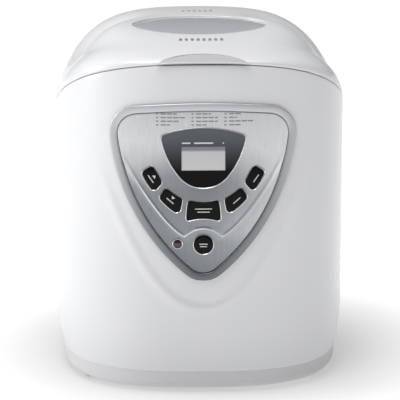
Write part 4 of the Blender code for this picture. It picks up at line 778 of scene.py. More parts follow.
def makeLid():
    wall, gap = form["wall"], form["lidGap"]
    outerSteps = 56
    profile = [("ring", 1.6 * mm, windowSetup["flange"]), ("ring", 0.3 * mm, windowSetup["flange"]),
               ("ring", 0, windowSetup["flange"] - 0.3 * mm), ("ring", 0, 1.0 * mm), ("ring", 0.15 * mm,
                       0.4 * mm),
               ("ring", 0.5 * mm, 0.08 * mm)]
    profile += [("outer", 1 - (1 - 0.012 - k / outerSteps * 0.988) ** 3.4) for k in range(outerSteps)]
    profile += [("rim", 0, 0.6 * mm), ("rim", 0.18 * mm, 0.18 * mm), ("rim", 0.6 * mm, 0), ("rim", wall, 0)]
    profile += [("inner", (1 - k / 24) ** 0.35 if k else 0.999) for k in range(24)]
    profile += [("ring", 1.6 * mm, wall)]

    def pointAt(entry, turn):
        if entry[0] == "ring":
            return onDome(windowPoint(turn, entry[1]), entry[2])
        if entry[0] == "rim":
            return seamPoint(turn, entry[1], gap + entry[2])
        near = windowPoint(turn, 1.6 * mm if entry[0] == "inner" else 0.0)
        edge = seamPoint(turn, 0, gap)
        spot = near.lerp(Vector((edge.x, edge.y, 0)), entry[1])
        if entry[0] == "outer":
            return Vector((spot.x, spot.y, max(lidHeight(spot.x, spot.y), edge.z + 0.6 * mm)))
        closer = seamPoint(turn, wall, gap)
        height = max(lidHeight(spot.x, spot.y) - wall, edge.z + 0.3 * mm)
        inside = near.lerp(Vector((closer.x, closer.y, 0)), entry[1])
        return Vector((inside.x, inside.y, height))

    shell = turnedSheet(profile, pointAt, 192, True)
    tools = []
    half, reach, cut = ventSetup["width"] / 2, ventSetup["length"] / 2, ventSetup["cut"]
    for row in ("front", "rear"):
        y, count = ventSetup[row + "Y"], ventSetup[row + "Count"]
        for index in range(count):
            x = (index - (count - 1) / 2) * ventSetup["pitch"]
            z = lidHeight(x, y)
            tools.append(softBlock((x - half, y - reach, z - cut), (x + half, y + reach, z + cut),
                                   ventSetup["corner"]))
        spread = (count / 2 + 0.5) * ventSetup["pitch"]
        makeVentShadePlate(spread, y - ventSetup["length"], y + ventSetup["length"])
    front, centreY, radius, swing = handleArc(form["gap"])
    back = [(radius * math.sin(swing - 2 * swing * k / 40), centreY + radius * math.cos(swing
            - 2 * swing * k / 40))
            for k in range(41)]
    chord = handleSetup["halfChord"] + form["gap"]
    nearY = front - handleSetup["pocketAhead"]
    outline = back + [(-chord, nearY), (chord, nearY)]
    pocket = bmesh.new()
    pocketFloor = frontTop - handleSetup["pocketDrop"]
    face = pocket.faces.new([pocket.verts.new((x, y, pocketFloor)) for x, y in outline])
    made = bmesh.ops.extrude_face_region(pocket, geom=[face])
    moved = [part for part in made["geom"] if isinstance(part, bmesh.types.BMVert)]
    bmesh.ops.translate(pocket, vec=(0, 0, handleSetup["pocketHeight"]), verts=moved)
    tools.append(faceOut(pocket))
    shell = carve(shell, tools)
    for side in (-1, 1):
        nearX = hingeSetup["side"] + hingeSetup["length"] / 2 + gap
        shell = addKnuckle(shell, side * nearX, side * (nearX + hingeSetup["length"]), 1)
    finishPiece(shell, "lidDomeShell", whiteAbs, "lid", ["lid_shell"])
    print("lid shell made")


def makeHandle():
    front, centreY, radius = handleArc(0)[:3]
    half = handleSetup["halfChord"]
    across, along = 84, 22

    def topAt(x, y):
        edge = frontEdge(x)
        back = lidHeight(x, max(y, edge.y + 1.5 * mm))
        dish = edge.z + form["lidGap"] + handleSetup["edge"] + (y - edge.y
                + handleSetup["lip"]) * handleSetup["slope"]
        return min(back, dish), edge.z

    steps = [("top", k / along) for k in range(along + 1)] + [("under", 1 - k / 6) for k in range(7)]

    def place(u, v):
        kind, share = steps[round(v * len(steps)) % len(steps)]
        x = half * 0.9995 * math.sin(math.pi * (u - 0.5))
        backY = centreY + math.sqrt(radius ** 2 - x ** 2)
        y = front + (backY - front) * share
        top, seam = topAt(x, y)
        if kind == "top":
            rounding = 0.5 * mm * (1 - smoothStep(0, 1.2 * mm, y - front))
            return Vector((x, y, top - rounding))
        return Vector((x, y, max(top - form["wall"], seam + form["lidGap"] + 0.4 * mm)))

    finishPiece(closeEnds(gridSheet(across, len(steps), place)), "lidHandleDish", handleAbs, "lid",
                ["lid_handle"])


def makeWindow():
    edge = -form["gap"]
    top, bottom = windowSetup["recess"], windowSetup["recess"] + windowSetup["glass"]
    profile = [(0.0, top), (0.3, top), (0.6, top), (0.85, top), (0.985, top), (1.0, top + 0.5 * mm),
               (1.0, bottom - 0.3 * mm), (0.99, bottom), (0.6, bottom), (0.0, bottom)]

    def pointAt(entry, turn):
        return onDome(windowPoint(turn, edge, entry[0]), entry[1])

    finishPiece(turnedSheet(profile, pointAt, 144, False), "viewingGlass", windowGlass, "lid",
                ["window_glass"])
    sealTop = bottom + 0.4 * mm
    sealBottom = sealTop + windowSetup["sealDepth"]
    width = windowSetup["sealWidth"]
    ring = [(edge, sealTop), (edge - width * 0.5, sealTop - 0.1 * mm), (edge - width, sealTop),
            (edge - width - 0.4 * mm, sealTop + 1 * mm), (edge - width, sealBottom), (edge, sealBottom)]

    def sealPoint(entry, turn):
        return onDome(windowPoint(turn, entry[0]), entry[1])

    finishPiece(turnedSheet(ring, sealPoint, 120, True), "windowGasket", blackRubber, "lid",
                ["window_seal"])
    print("window made")


linerSetup = {"inset": 5 * mm, "lift": 1.0 * mm, "thickness": 1.2 * mm, "inside": 4 * mm, "margin": 12 * mm,
              "power": 4.0, "slope": 9 * mm}


def recessPoint(grow, turn):
    inside = linerSetup["inside"]
    front = min(ovenSetup["y"] - ovenSetup["halfY"] + inside,
                windowSetup["y"] - windowSetup["halfY"] - linerSetup["margin"])
    rear = ovenSetup["y"] + ovenSetup["halfY"] - inside
    return softRectangle(ovenSetup["halfX"] - inside + grow, (rear - front) / 2 + grow, linerSetup["power"],
                         (0, (rear + front) / 2), turn, 0)


def makeLiner():
    ceiling, slope, lift, thick = (windowSetup["ceiling"], linerSetup["slope"], linerSetup["lift"],
                                   linerSetup["thickness"])
    profile = [("rim", lift, 0), ("flat", lift, 2 * mm), ("flat", lift + 0.5 * mm, 0.4 * mm),
               ("wall", 0.06, 0), ("wall", 0.3, 0), ("wall", 0.6, 0), ("wall", 0.88, 0), ("wall", 0.97,
                       1.5 * mm)]
    profile += [("span", k / 6, 0) for k in range(1, 7)]
    profile += [("span", 1 - k / 6, thick) for k in range(0, 6)]
    profile += [("wall", 0.97, 1.5 * mm + thick), ("wall", 0.5, thick), ("flat", lift + thick, -thick),
                ("rim", lift + thick, 0)]

    def pointAt(entry, turn):
        kind, value, extra = entry
        if kind == "rim":
            return seamPoint(turn, linerSetup["inset"], value)
        if kind == "flat":
            spot = recessPoint(extra, turn)
            return Vector((spot.x, spot.y, seamHeight(spot.y) + value))
        mouth, brow = recessPoint(0, turn), recessPoint(-slope, turn)
        mouth.z = seamHeight(mouth.y) + lift
        brow = onDome(brow, ceiling)
        if kind == "wall":
            spot = mouth.lerp(brow, value)
            if extra >= thick:
                out = Vector((spot.x, spot.y - ovenSetup["y"], 0)).normalized()
                spot += out * thick * 0.9
            if value > 0.9:
                inward = Vector((-spot.x, ovenSetup["y"] - spot.y, 0)).normalized()
                spot += inward * 0.8 * mm
            return spot
        edge = windowPoint(turn, -windowSetup["sealWidth"])
        spot = Vector((brow.x, brow.y, 0)).lerp(edge, value)
        return onDome(spot, ceiling - extra)

    finishPiece(turnedSheet(profile, pointAt, 144, True), "lidLinerSheet", rolledAluminium, "lid",
                ["lid_liner"])
    print("liner made")


panelSetup = {"fasciaLow": 1.35 * mm, "fasciaHigh": 1.95 * mm, "crest": 0.45 * mm, "valleyZ": 146.0 * mm,
              "valleyHalf": 14 * mm, "valleyGrowth": 0.2205, "valleyPower": 1.43, "archTop": 154.2 * mm,
              "archFall": 0.0254, "ridgeEnd": 66 * mm, "lensProud": 2.4 * mm, "keyProud": 3.2 * mm,
              "cutAhead": 9 * mm, "cutBehind": 40 * mm}
lensShape = {"halfWidth": 36.8 * mm, "top": 244 * mm, "bottom": 191.5 * mm, "corner": 3 * mm, "tip": 27 * mm,
             "sideArc": 75 * mm, "topArc": 107 * mm}
startCentre = (0.0, panelShape["bottom"] + 33.2 * mm)
lampCentre = (-23 * mm, panelShape["bottom"] + 34 * mm)
startRadius = 8.2 * mm
lampRadius = 3.6 * mm
sideKey = [(54.3, 61.7), (45.2, 56.0), (36.9, 70.6), (43.8, 78.5)]
lowKey = [(38.8, 84.1), (33.3, 75.4), (19.2, 85.4), (21.6, 98.9)]
keyShapes = {
    "timer_up": {"corners": [(-x, drop) for x, drop in sideKey], "bows": (-0.3, -0.5, -0.3, -0.9)},
    "timer_down": {"corners": [(-x, drop) for x, drop in lowKey], "bows": (-0.3, 0.5, -0.3, -1.0)},
    "dough_size": {"corners": [(-13.1, 86.6), (13.1, 86.6), (14.9, 105.2), (-14.9, 105.2)],
                   "bows": (2.0, -0.4, 2.8, -0.4)},
    "options": {"corners": lowKey, "bows": (-0.3, 0.5, -0.3, -1.0)},
    "crust_colour": {"corners": sideKey, "bows": (-0.3, -0.5, -0.3, -0.9)},
}
keyRadius = 2.6 * mm
bowDepth = 9 * mm


def keyOutline(name):
    if name == "start_stop":
        return arcPoints(startCentre, startRadius, 0, math.tau, 72)[:-1]
    corners = [(x * mm, panelShape["top"] - drop * mm) for x, drop in keyShapes[name]["corners"]]
    area = sum(corners[k - 1][0] * corners[k][1] - corners[k][0] * corners[k - 1][1]
               for k in range(len(corners)))
    outline = softPolygon(corners, keyRadius)
    side = -1 if area > 0 else 1
    bows = [bow * mm * side for bow in keyShapes[name]["bows"]]
    return bowed(outline, corners, bows, bowDepth)


keyNames = list(keyShapes) + ["start_stop"]


def ridgeAway(x, z):
    # signed distance above the ridge line that runs under the keys, in mm
    across = abs(x) / mm
    reach = max(0.0, across - panelSetup["valleyHalf"] / mm)
    valley = panelSetup["valleyZ"] / mm + panelSetup["valleyGrowth"] * reach ** panelSetup["valleyPower"]
    arch = panelSetup["archTop"] / mm - panelSetup["archFall"] * across ** 2
    slope = (panelSetup["valleyGrowth"] * panelSetup["valleyPower"] * reach ** (panelSetup["valleyPower"] - 1)
             if valley > arch else 2 * panelSetup["archFall"] * across)
    return (z / mm - max(valley, arch)) / math.sqrt(1 + slope ** 2)


def fasciaRelief(x, z):
    away = ridgeAway(x, z)
    fade = 1 - smoothStep(0.205, 0.225, z)  # the ridge dies out beside the display
    step = smoothStep(-2.6, 0.6, away)
    crest = math.exp(-((away - 0.2) / 1.3) ** 2)
    low, high = panelSetup["fasciaLow"], panelSetup["fasciaHigh"]
    return high - (high - low) * (1 - step) * fade + panelSetup["crest"] * crest * fade


notchSetup = {"half": 4.7 * mm, "ahead": 8 * mm, "skin": 1.2 * mm, "low": 2 * mm, "high": 1.3 * mm}


def makeBezel():
    width, proud, seat = panelShape["rimWidth"], panelShape["rimProud"], panelShape["seat"]
    section = [(0, seat), (0, proud * 0.62), (-0.25 * mm, proud * 0.84), (-0.8 * mm, proud * 0.97),
               (-1.6 * mm, proud), (-width + 1.3 * mm, proud * 0.97), (-width + 0.6 * mm, proud * 0.90),
               (-width + 0.15 * mm, proud * 0.76), (-width, proud * 0.6), (-width, seat)]
    ring = ringOnFront([softTriangle(panelShape, grow) for grow, _ in section],
                       [level for _, level in section])
    bottom = panelShape["bottom"]
    notch = softBlock((-notchSetup["half"], frontY - notchSetup["ahead"], bottom - notchSetup["low"]),
                      (notchSetup["half"], frontY - notchSetup["skin"], bottom + notchSetup["high"]), 0)
    finishPiece(carve(ring, [notch]), "panelRim", bezelPaint, "body", ["control_bezel"])


rimSections = {  # how far out and how high the section of each surround runs, in mm
    "key": ((0.45, 1.0), (0.45, 2.35), (0.75, 2.6), (1.15, 2.5), (1.35, 2.15), (1.35, 1.0)),
    "lamp": ((0.35, 1.0), (0.35, 2.3), (0.7, 2.5), (1.1, 2.3), (1.2, 1.9), (1.2, 1.0)),
    "display": ((0.35, 1.0), (0.35, 2.45), (0.6, 2.7), (1.0, 2.6), (1.3, 2.1), (1.3, 1.0)),
}
fasciaSetup = {"rimGap": 0.35 * mm, "lensGap": 0.3 * mm, "lampGap": 0.3 * mm, "keyGap": 0.4 * mm, "rings": 84}


def frontCut(outline):
    # a cutter that runs through the front along y
    return prism(outline, frontY - panelSetup["cutAhead"], frontY + panelSetup["cutBehind"])


def surround(kind, outlineAt):
    section = rimSections[kind]
    return ringOnFront([outlineAt(grow * mm) for grow, _ in section], [level * mm for _, level in section])


def makeFascia():
    outline = softTriangle(panelShape, -panelShape["rimWidth"] - fasciaSetup["rimGap"])
    edge = [(0.8 * mm, 0.0), (0.3 * mm, 0.12 * mm), (0.0, 0.5 * mm)]
    plate = plateOnFront(outline, fasciaSetup["rings"], 0.985, edge, fasciaRelief, panelShape["seat"])
    tools = [frontCut(softTriangle(lensShape, fasciaSetup["lensGap"])),
             frontCut(arcPoints(lampCentre, lampRadius + fasciaSetup["lampGap"], 0, math.tau, 40)[:-1])]
    tools += [frontCut(offset(keyOutline(name), fasciaSetup["keyGap"])) for name in keyNames]
    finishPiece(carve(plate, tools), "silverFascia", silverFilm, "body", ["control_fascia"])
    lamp = arcPoints(lampCentre, lampRadius, 0, math.tau, 40)[:-1]
    rims = [surround("key", lambda grow: offset(keyOutline(name), grow)) for name in keyNames]
    rims.append(surround("lamp", lambda grow: offset(lamp, grow)))
    rims.append(surround("display", lambda grow: softTriangle(lensShape, grow)))
    finishPiece(joined(rims), "keySurrounds", polishedRim, "body")
    print("fascia made")


def makeRidge():
    # the crest line between the key band and the plain field under it, coloured with a painted highlight
    half = []
    reach = panelSetup["ridgeEnd"] / mm
    for k in range(61):
        across = reach * (1 - k / 60)
        valley = max(0.0, across - panelSetup["valleyHalf"] / mm)
        z = panelSetup["valleyZ"] / mm + panelSetup["valleyGrowth"] * valley ** panelSetup["valleyPower"]
        arch = panelSetup["archTop"] / mm - panelSetup["archFall"] * across ** 2
        half.append((across * mm, max(z, arch) * mm))
    line = [(-x, z) for x, z in half] + list(reversed(half[:-1]))
    count = len(line) - 1
    section = [(-0.9, -0.4), (-0.7, 0.22), (-0.3, 0.5), (0.15, 0.5), (0.6, 0.2), (0.9, -0.4)]

    def place(u, v):
        index = round(u * count)
        before, after = line[max(0, index - 2)], line[min(count, index + 2)]
        along = Vector((after[0] - before[0], after[1] - before[1])).normalized()
        side, rise = section[round(v * len(section)) % len(section)]
        taper = min(1.0, index / 14, (count - index) / 14)
        x = line[index][0] - along.y * side * taper * mm
        z = line[index][1] + along.x * side * taper * mm
        return frontPoint(x, z, fasciaRelief(x, z) + (rise * taper - 0.2 * (1 - taper)) * mm)

    finishPiece(closeEnds(gridSheet(count, len(section), place)), "fasciaRidge", ridgeHighlight, "body",
                sharp=60)


displayShape = {"halfWidth": 19.6 * mm, "low": 206.8 * mm, "high": 228.2 * mm, "corner": 0.6 * mm,
                "paneShare": 0.985, "paneCorner": 0.4 * mm, "sink": 0.35 * mm}


def makeDisplay():
    proud = panelSetup["lensProud"]
    edge = [(0.4 * mm, 0.0), (0.1 * mm, 0.12 * mm), (0.0, 0.35 * mm)]
    lens = plateOnFront(softTriangle(lensShape, 0), 20, 0.97, edge, lambda x, z: proud, -1 * mm)
    half, low, high = displayShape["halfWidth"], displayShape["low"], displayShape["high"]
    corners = [(-half, low), (half, low), (half, high), (-half, high)]
    lens = carve(lens, [frontCut(softPolygon(corners, displayShape["corner"], 3, 2))])
    finishPiece(lens, "smokedLens", smokedAcrylic, "body", ["display_lens"])
    inner = softPolygon([(x * displayShape["paneShare"], z) for x, z in corners],
                        displayShape["paneCorner"], 3, 8)
    pane = plateOnFront(inner, 8, 0.97, [(0.1 * mm, 0.0), (0.0, 0.1 * mm)],
                        lambda x, z: proud - displayShape["sink"], -6 * mm)
    finishPiece(pane, "displayPane", crystalDisplay, "body", ["display_module"])


def middleAndReach(outline):
    count = len(outline)
    centre = (sum(p[0] for p in outline) / count, sum(p[1] for p in outline) / count)
    return centre, max(math.hypot(p[0] - centre[0], p[1] - centre[1]) for p in outline)


def pieceName(name, ending):
    return name.replace("_", " ").title().replace(" ", "") + ending


def keyTop(x, z, centre, reach):
    away = math.hypot(x - centre[0], z - centre[1]) / reach
    return panelSetup["keyProud"] - 0.05 * mm - 0.45 * mm * min(1.2, away) ** 2


def makeKeys():
    for name in keyNames:
        outline = keyOutline(name)
        count = len(outline)
        centre, reach = middleAndReach(outline)
        rings = [("cap", share, 0) for share in (0, 0.2, 0.4, 0.6, 0.75, 0.86, 0.93)]
        rings += [("edge", -0.35 * mm, 0.12 * mm), ("edge", -0.1 * mm, 0.42 * mm), ("edge", 0, 0.9 * mm)]
        rings += [("deep", 0, -0.3 * mm), ("deep", 1.2 * mm, -0.3 * mm), ("deep", 1.2 * mm, -3 * mm),
                  ("hub", 0, -3 * mm)]
        outlines = {grow: offset(outline, grow) for grow in (-0.35 * mm, -0.1 * mm, 1.2 * mm)}
        outlines[0] = outline

        def place(u, v):
            kind, value, level = rings[round(v * (len(rings) - 1))]
            index = round(u * count) % count
            if kind in ("cap", "hub"):
                x = centre[0] + (outline[index][0] - centre[0]) * value
                z = centre[1] + (outline[index][1] - centre[1]) * value
                return frontPoint(x, z, level if kind == "hub" else keyTop(x, z, centre, reach))
            x, z = outlines[value][index]
            return frontPoint(x, z, level if kind == "deep" else keyTop(x, z, centre, reach) - level)

        cap = faceOut(gridSheet(count, len(rings) - 1, place))
        finishPiece(cap, pieceName(name, "Key"), blackAbs, name + "_key", [name + "_button"])
    print("keys made")


def flatMark(outline, relief):
    # a printed mark: a thin plate that follows the surface under it
    count = len(outline)
    middle = Vector((sum(p[0] for p in outline) / count, sum(p[1] for p in outline) / count))
    steps = [(0, 0.05), (0.5, 0.05), (1, 0.05), (1, -0.1), (0, -0.1)]

    def place(u, v):
        share, level = steps[round(v * (len(steps) - 1))]
        spot = middle.lerp(Vector(outline[round(u * count) % count]), share)
        return frontPoint(spot.x, spot.y, relief(spot.x, spot.y) + level * mm)

    return faceOut(gridSheet(count, len(steps) - 1, place))


def barOutline(centre, length, height, turn=0.0, steps=3):
    half, tall = length / 2, height / 2
    flat = [(-half + 2 * half * k / steps, -tall) for k in range(steps + 1)]
    flat += [(half - 2 * half * k / steps, tall) for k in range(steps + 1)]
    return [(centre[0] + x * math.cos(turn) - z * math.sin(turn),
             centre[1] + x * math.sin(turn) + z * math.cos(turn)) for x, z in flat]


# places and lengths of the printed marks, in mm
keyBars = {"dough_size": ((1.6, 15), (-1.2, 11)), "start_stop": ((0.6, 7.5), (-1.6, 6.0))}
keyTurns = {"timer_up": -0.95, "timer_down": -0.72, "options": 0.72, "crust_colour": 0.95}
markSetup = {"bar": 0.8, "keyBar": 8, "barDrop": 1.4, "arrowRise": 2.4, "arrowTip": 1.5, "arrowHalf": 1.9,
             "arrowFoot": 0.6}
listSetup = {"top": 257.0, "pitch": 3.25, "bar": 1.2, "number": 2.0, "wordStart": 3.6, "word": 5.5,
             "space": 0.8,
             "columns": ((-41.5, (15, 24, 17, 9)), (-10.5, (14, 20, 20, 10)), (18.5, (11, 8, 24, 11)))}
labelSetup = {"height": 231.2, "bar": 1.3, "bars": ((-15.2, 7.5), (0.2, 17), (17.5, 1.2))}


def keyMarks(name, centre):
    # plain bars on the keys, and an arrow on the two timer keys
    bar = markSetup["bar"] * mm
    if name in keyBars:
        return [barOutline((centre[0], centre[1] + rise * mm), length * mm, bar)
                for rise, length in keyBars[name]]
    turn = keyTurns[name]
    along = Vector((math.cos(turn), math.sin(turn)))
    across = Vector((-along.y, along.x))
    spot = Vector(centre) - across * markSetup["barDrop"] * mm
    marks = [barOutline(spot, markSetup["keyBar"] * mm, bar, turn)]
    if name.startswith("timer"):
        tip = markSetup["arrowTip"] * mm * (1 if name == "timer_up" else -1)
        top = Vector(centre) + across * markSetup["arrowRise"] * mm
        side, foot = along * markSetup["arrowHalf"] * mm, across * tip * markSetup["arrowFoot"]
        marks.append([tuple(top + across * tip), tuple(top - side - foot), tuple(top + side - foot)])
    return marks


def listBars():
    # rows of word-long bars in three columns, each row behind a short bar for its number
    bars = []
    number, height = listSetup["number"], listSetup["bar"] * mm
    for left, lengths in listSetup["columns"]:
        start = left + listSetup["wordStart"]
        for row, length in enumerate(lengths):
            z = listSetup["top"] * mm - row * listSetup["pitch"] * mm
            bars.append(barOutline(((left + number / 2) * mm, z), number * mm, height, 0, 2))
            word = start
            while word < start + length - 2:
                piece = min(listSetup["word"], start + length - word)
                bars.append(barOutline(((word + piece / 2) * mm, z), (piece - listSetup["space"]) * mm,
                                       height,
                                       0, 2))
                word += piece
    return bars


def makeMarks():
    # plain bars and arrows stand where the real panel has its printing
    for name in keyNames:
        centre, reach = middleAndReach(keyOutline(name))

        def relief(x, z):
            return keyTop(x, z, centre, reach)

        work = joined([flatMark(mark, relief) for mark in keyMarks(name, centre)])
        finishPiece(work, pieceName(name, "Mark"), printWhite, name + "_key")
    finishPiece(joined([flatMark(bar, fasciaRelief) for bar in listBars()]), "programmeListMarks", printGrey,
                "body")
    proud = panelSetup["lensProud"]
    labels = [barOutline((x * mm, labelSetup["height"] * mm), length * mm, labelSetup["bar"] * mm)
              for x, length in labelSetup["bars"]]
    finishPiece(joined([flatMark(bar, lambda x, z: proud) for bar in labels]), "displayMarks", printWhite,
                "body")
    print("marks made")


def makeLamp():
    outline = arcPoints(lampCentre, lampRadius, 0, math.tau, 48)[:-1]
    rise = panelSetup["lensProud"]

    def dome(x, z):
        away = math.hypot(x - lampCentre[0], z - lampCentre[1]) / lampRadius
        return rise + 0.7 * mm * (1 - away ** 2)

    edge = [(0.12 * mm, 0.1 * mm), (0.0, 0.3 * mm)]
    finishPiece(plateOnFront(outline, 8, 0.9, edge, dome, -3 * mm), "redLampLens", redAcrylic, "body",
                ["indicator_lamp"])


panSetup = {"halfX": 90.5 * mm, "halfY": 64.5 * mm, "power": 5.5, "taper": 7 * mm, "wall": 1.5 * mm,
            "floor": 74 * mm,
            "top": 200 * mm, "rim": 2.5 * mm, "soft": 9 * mm, "turns": 144}


def panPoint(grow, height, share, turn):
    taper = panSetup["taper"] * (1 - share)
    return softRectangle(panSetup["halfX"] + grow - taper, panSetup["halfY"] + grow - taper,
                         panSetup["power"],
                         (0, ovenSetup["y"]), turn, height)


ovenCorner = {"inset": 14 * mm, "rise": 10 * mm}
ovenHoles = {"shaft": 9.3 * mm, "probe": 4.3 * mm, "heater": 3.85 * mm, "out": 5 * mm, "in": 8 * mm}
heaterSetup = {"inset": 9.25 * mm, "lead": 13 * mm, "radius": 3.25 * mm, "end": 111.7 * mm, "bend": 6 * mm,
               "steps": 140}


def makeOven():
    wall, floor, top, lip = (ovenSetup[key] for key in ("wall", "floor", "top", "lip"))
    inset, rise = ovenCorner["inset"], ovenCorner["rise"]
    corner = [(-inset + inset * math.sin(k * math.pi / 16), floor + rise * (1 - math.cos(k * math.pi / 16)))
              for k in range(9)]
    profile = [("flat", 0, floor), ("flat", 0.5, floor)] + [("wall", grow, height) for grow, height in corner]
    profile += [("wall", 0, top - wall - 0.4 * mm), ("wall", 0.4 * mm, top - wall), ("wall", lip, top - wall),
                ("wall", lip, top), ("wall", -wall + 0.9 * mm, top), ("wall", -wall, top - 0.9 * mm)]
    profile += [("wall", grow - wall, height + wall * (1 - k / 8)) for k, (grow, height) in
                reversed(list(enumerate(corner)))]
    profile += [("flat", 0.5, floor + wall), ("flat", 0, floor + wall)]

    def pointAt(entry, turn):
        kind, value, height = entry
        if kind == "wall":
            return ovenPoint(value, height, turn)
        rim = ovenPoint(-inset, height, turn)
        centre = Vector((0, ovenSetup["y"], height))
        return centre + (rim - centre) * value

    chamber = turnedSheet(profile, pointAt, ovenSetup["turns"], False)
    y = ovenSetup["y"]
    low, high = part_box("temperature_sensor")
    probeZ = (low[2] + high[2]) / 2
    low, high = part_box("heating_element")
    heaterZ = (low[2] + high[2]) / 2
    outward, inward, lead, bend = ovenHoles["out"], ovenHoles["in"], heaterSetup["lead"], heaterSetup["bend"]
    tools = [roundBar((0, y, floor - outward), (0, y, floor + outward), ovenHoles["shaft"]),
             roundBar((-ovenSetup["halfX"] - outward, y, probeZ), (-ovenSetup["halfX"] + inward, y, probeZ),
                      ovenHoles["probe"])]
    for side in (-1, 1):
        tools.append(roundBar((ovenSetup["halfX"] - inward, y + side * lead, heaterZ),
                              (ovenSetup["halfX"] + outward, y + side * lead, heaterZ), ovenHoles["heater"]))
    finishPiece(carve(chamber, tools), "ovenLining", nonStick, "body", ["oven_chamber"])
    halfX, halfY = ovenSetup["halfX"] - heaterSetup["inset"], ovenSetup["halfY"] - heaterSetup["inset"]
    steps = heaterSetup["steps"]
    loop = [softRectangle(halfX, halfY, ovenSetup["power"], (0, y), math.tau * (k + 0.5) / steps, heaterZ)
            for k in range(steps)]
    loop = [point for point in loop if not (point.x > 0 and abs(point.y - y) < lead + bend)]
    start = [Vector((heaterSetup["end"], y + lead, heaterZ))]
    start += [Vector((halfX + bend - bend * math.sin(k * math.pi / 12),
                      y + lead + bend * (1 - math.cos(k * math.pi / 12)), heaterZ)) for k in range(7)]
    end = [Vector((point.x, 2 * y - point.y, heaterZ)) for point in reversed(start)]
    softTube("heaterTube", start + loop + end, heaterSetup["radius"], heaterSheath, "body",
             ["heating_element"])
    print("oven made")


bailSetup = {"wire": 2.2 * mm, "reach": 56 * mm, "bend": 22 * mm, "pivot": 206 * mm, "hook": 3 * mm,
             "lug": 2 * mm, "play": 0.4 * mm}


def makePan():
    wall, floor, top, rim, soft = (panSetup[key] for key in ("wall", "floor", "top", "rim", "soft"))
    bend = [(-soft * (1 - math.sin(k * math.pi / 16)), floor + soft * (1 - math.cos(k * math.pi / 16)),
             0.07 * k / 8)
            for k in range(9)]
    profile = [("flat", 0, floor), ("flat", 0.6, floor)] + [("wall",) + entry for entry in bend]
    profile += [("wall", 0, top - 2.4 * mm, 0.985), ("wall", rim - 0.6 * mm, top - 2.0 * mm, 1),
                ("wall", rim, top - 1.4 * mm, 1), ("wall", rim, top - 0.6 * mm, 1), ("wall", rim - 0.6 * mm,
                        top, 1),
                ("wall", -wall + 0.8 * mm, top, 1), ("wall", -wall, top - 0.8 * mm, 1)]
    profile += [("wall", grow - wall, height + wall * (1 - k / 8), share) for k, (grow, height, share) in
                reversed(list(enumerate(bend)))]
    profile += [("flat", 0.6, floor + wall), ("flat", 0, floor + wall)]

    def pointAt(entry, turn):
        if entry[0] == "wall":
            return panPoint(entry[1], entry[2], entry[3], turn)
        rimPoint = panPoint(-soft, entry[2], 0, turn)
        centre = Vector((0, ovenSetup["y"], entry[2]))
        return centre + (rimPoint - centre) * entry[1]

    pan = turnedSheet(profile, pointAt, panSetup["turns"], False)
    y = ovenSetup["y"]
    pan = carve(pan, [roundBar((0, y, floor - 5 * mm), (0, y, floor + 5 * mm), 7.3 * mm)])
    finishPiece(pan, "nonStickPan", nonStick, "pan", ["bread_pan"])
    wire, bent, hook = bailSetup["wire"], bailSetup["bend"], bailSetup["hook"]
    lugX = panSetup["halfX"] + rim + form["gap"]
    sideX = lugX + bailSetup["lug"] + form["gap"] + wire + bailSetup["play"]
    half = [(lugX - hook, 0)]
    half += [(sideX - hook + hook * math.sin(k * math.pi / 12), hook - hook * math.cos(k * math.pi / 12))
             for k in range(7)]
    half += arcPoints((sideX - bent, bailSetup["reach"] - bent), bent, 0, math.pi / 2, 14)
    route = half + [(-x, away) for x, away in reversed(half)]
    softTube("bailWire", [Vector((x, y - away, bailSetup["pivot"])) for x, away in route], wire, zincSteel,
             "bail", ["pan_bail"])
    print("pan made")


keptFinishes = {
    "blackRubber": ["foot_1", "foot_2", "foot_3", "foot_4", "drive_belt", "shaft_seal"],
    "zincSteel": ["base_screw_1", "base_screw_2", "base_screw_3", "base_screw_4", "element_clip_left",
                  "element_clip_right", "temperature_sensor", "drive_frame", "motor_body", "hinge_pin_left",
                  "hinge_pin_right", "drive_shaft", "drive_coupling", "motor_shaft", "bail_lug_left",
                  "bail_lug_right", "paddle_shaft", "pan_coupling"],
    "rolledAluminium": ["heat_shield", "pan_socket", "pan_foot"],
    "sinteredBronze": ["drive_bearing", "motor_pulley"],
    "blackNylon": ["cord_gland", "large_pulley"],
    "circuitBoard": ["control_board", "power_board"],
    "nonStick": ["kneading_paddle"],
}
finishes = {"blackRubber": blackRubber, "zincSteel": zincSteel, "rolledAluminium": rolledAluminium,
            "sinteredBronze": sinteredBronze, "blackNylon": blackNylon, "circuitBoard": circuitBoard,
            "nonStick": nonStick}


def finishKeptNodes():
    for finish, names in keptFinishes.items():
        for name in names:
            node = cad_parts[name]
            if not node.material_slots:
                node.data.materials.append(finishes[finish])
            for slot in node.material_slots:
                slot.material = finishes[finish]
    print("kept pieces finished")


studio = {"pan": 1.73, "pitch": 12.0, "distance": 2.150, "aim": (0.0017, -0.0034, 0.1467), "lens": 201.8,
          "sensor": 36, "floor": 30, "glowScale": 2.8, "glowFar": 0.97, "glowNear": 0.05,
          "sky": (0.97, 0.98, 1.0, 1), "skyStrength": 0.16, "lampAim": (0, 0, 0.16)}
lampPlaces = {  # each light's place, size and power
    "keyLeft": ((-1.75, -0.12, 0.7), 1.0, 14), "overhead": ((-0.1, 0.0, 1.7), 1.1, 15.5),
    "topFront": ((-0.2, -0.6, 1.1), 0.5, 2.8),
}


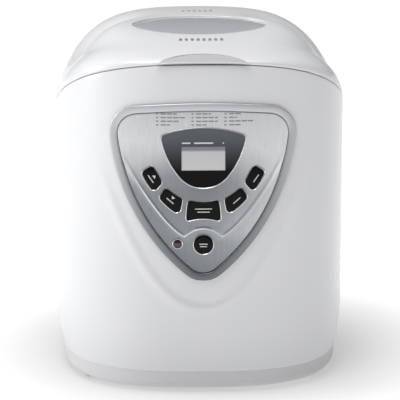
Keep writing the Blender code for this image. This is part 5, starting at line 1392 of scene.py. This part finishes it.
def makeStudio():
    floor = bmesh.new()
    bmesh.ops.create_grid(floor, x_segments=1, y_segments=1, size=studio["floor"])
    item = toObject(floor, "studioFloor")
    item.data.materials.append(floorPaper)
    shader = floorPaper.node_tree.nodes["Principled BSDF"]
    shader.inputs["Emission Color"].default_value = (1, 1, 1, 1)
    tree = floorPaper.node_tree
    place = addNode(tree, "ShaderNodeTexCoord")
    near = addNode(tree, "ShaderNodeMapping", {"Scale": (studio["glowScale"], studio["glowScale"], 0)},
                   {"Vector": place.outputs["Object"]})
    pool = addNode(tree, "ShaderNodeTexGradient", {"gradient_type": "SPHERICAL"},
                   {"Vector": near.outputs["Vector"]})
    glow = addNode(tree, "ShaderNodeMapRange", {"To Min": studio["glowFar"], "To Max": studio["glowNear"]},
                   {"Value": pool.outputs["Fac"]})
    tree.links.new(glow.outputs["Result"], shader.inputs["Emission Strength"])
    world = bpy.data.worlds.new("studio")
    world.use_nodes = True
    world.node_tree.nodes["Background"].inputs["Color"].default_value = studio["sky"]
    world.node_tree.nodes["Background"].inputs["Strength"].default_value = studio["skyStrength"]
    bpy.context.scene.world = world
    for name, (spot, size, power) in lampPlaces.items():
        light = bpy.data.lights.new(name, "AREA")
        light.shape = "DISK"
        light.size = size
        light.energy = power
        lamp = bpy.data.objects.new(name, light)
        lamp.location = spot
        towards = Vector(studio["lampAim"]) - Vector(spot)
        lamp.rotation_euler = towards.to_track_quat("-Z", "Y").to_euler()
        bpy.context.scene.collection.objects.link(lamp)
    pan, pitch = math.radians(studio["pan"]), math.radians(studio["pitch"])
    aim = Vector(studio["aim"])
    back = Vector((-math.sin(pan) * math.cos(pitch), -math.cos(pan) * math.cos(pitch), math.sin(pitch)))
    camera = bpy.data.objects.new("camera", bpy.data.cameras.new("camera"))
    camera.data.lens = studio["lens"]
    camera.data.sensor_width = studio["sensor"]
    camera.location = aim + back * studio["distance"]
    camera.rotation_euler = (-back).to_track_quat("-Z", "Y").to_euler()
    bpy.context.scene.collection.objects.link(camera)
    bpy.context.scene.camera = camera
    bpy.context.scene.view_settings.view_transform = "Standard"
    print("studio made")


makeStudio()
makeCovers()
makeBase()
makeDeck()
makeLid()
makeHandle()
makeWindow()
makeLiner()
makeBezel()
makeFascia()
makeRidge()
makeDisplay()
makeKeys()
makeMarks()
makeLamp()
makeOven()
makePan()
finishKeptNodes()
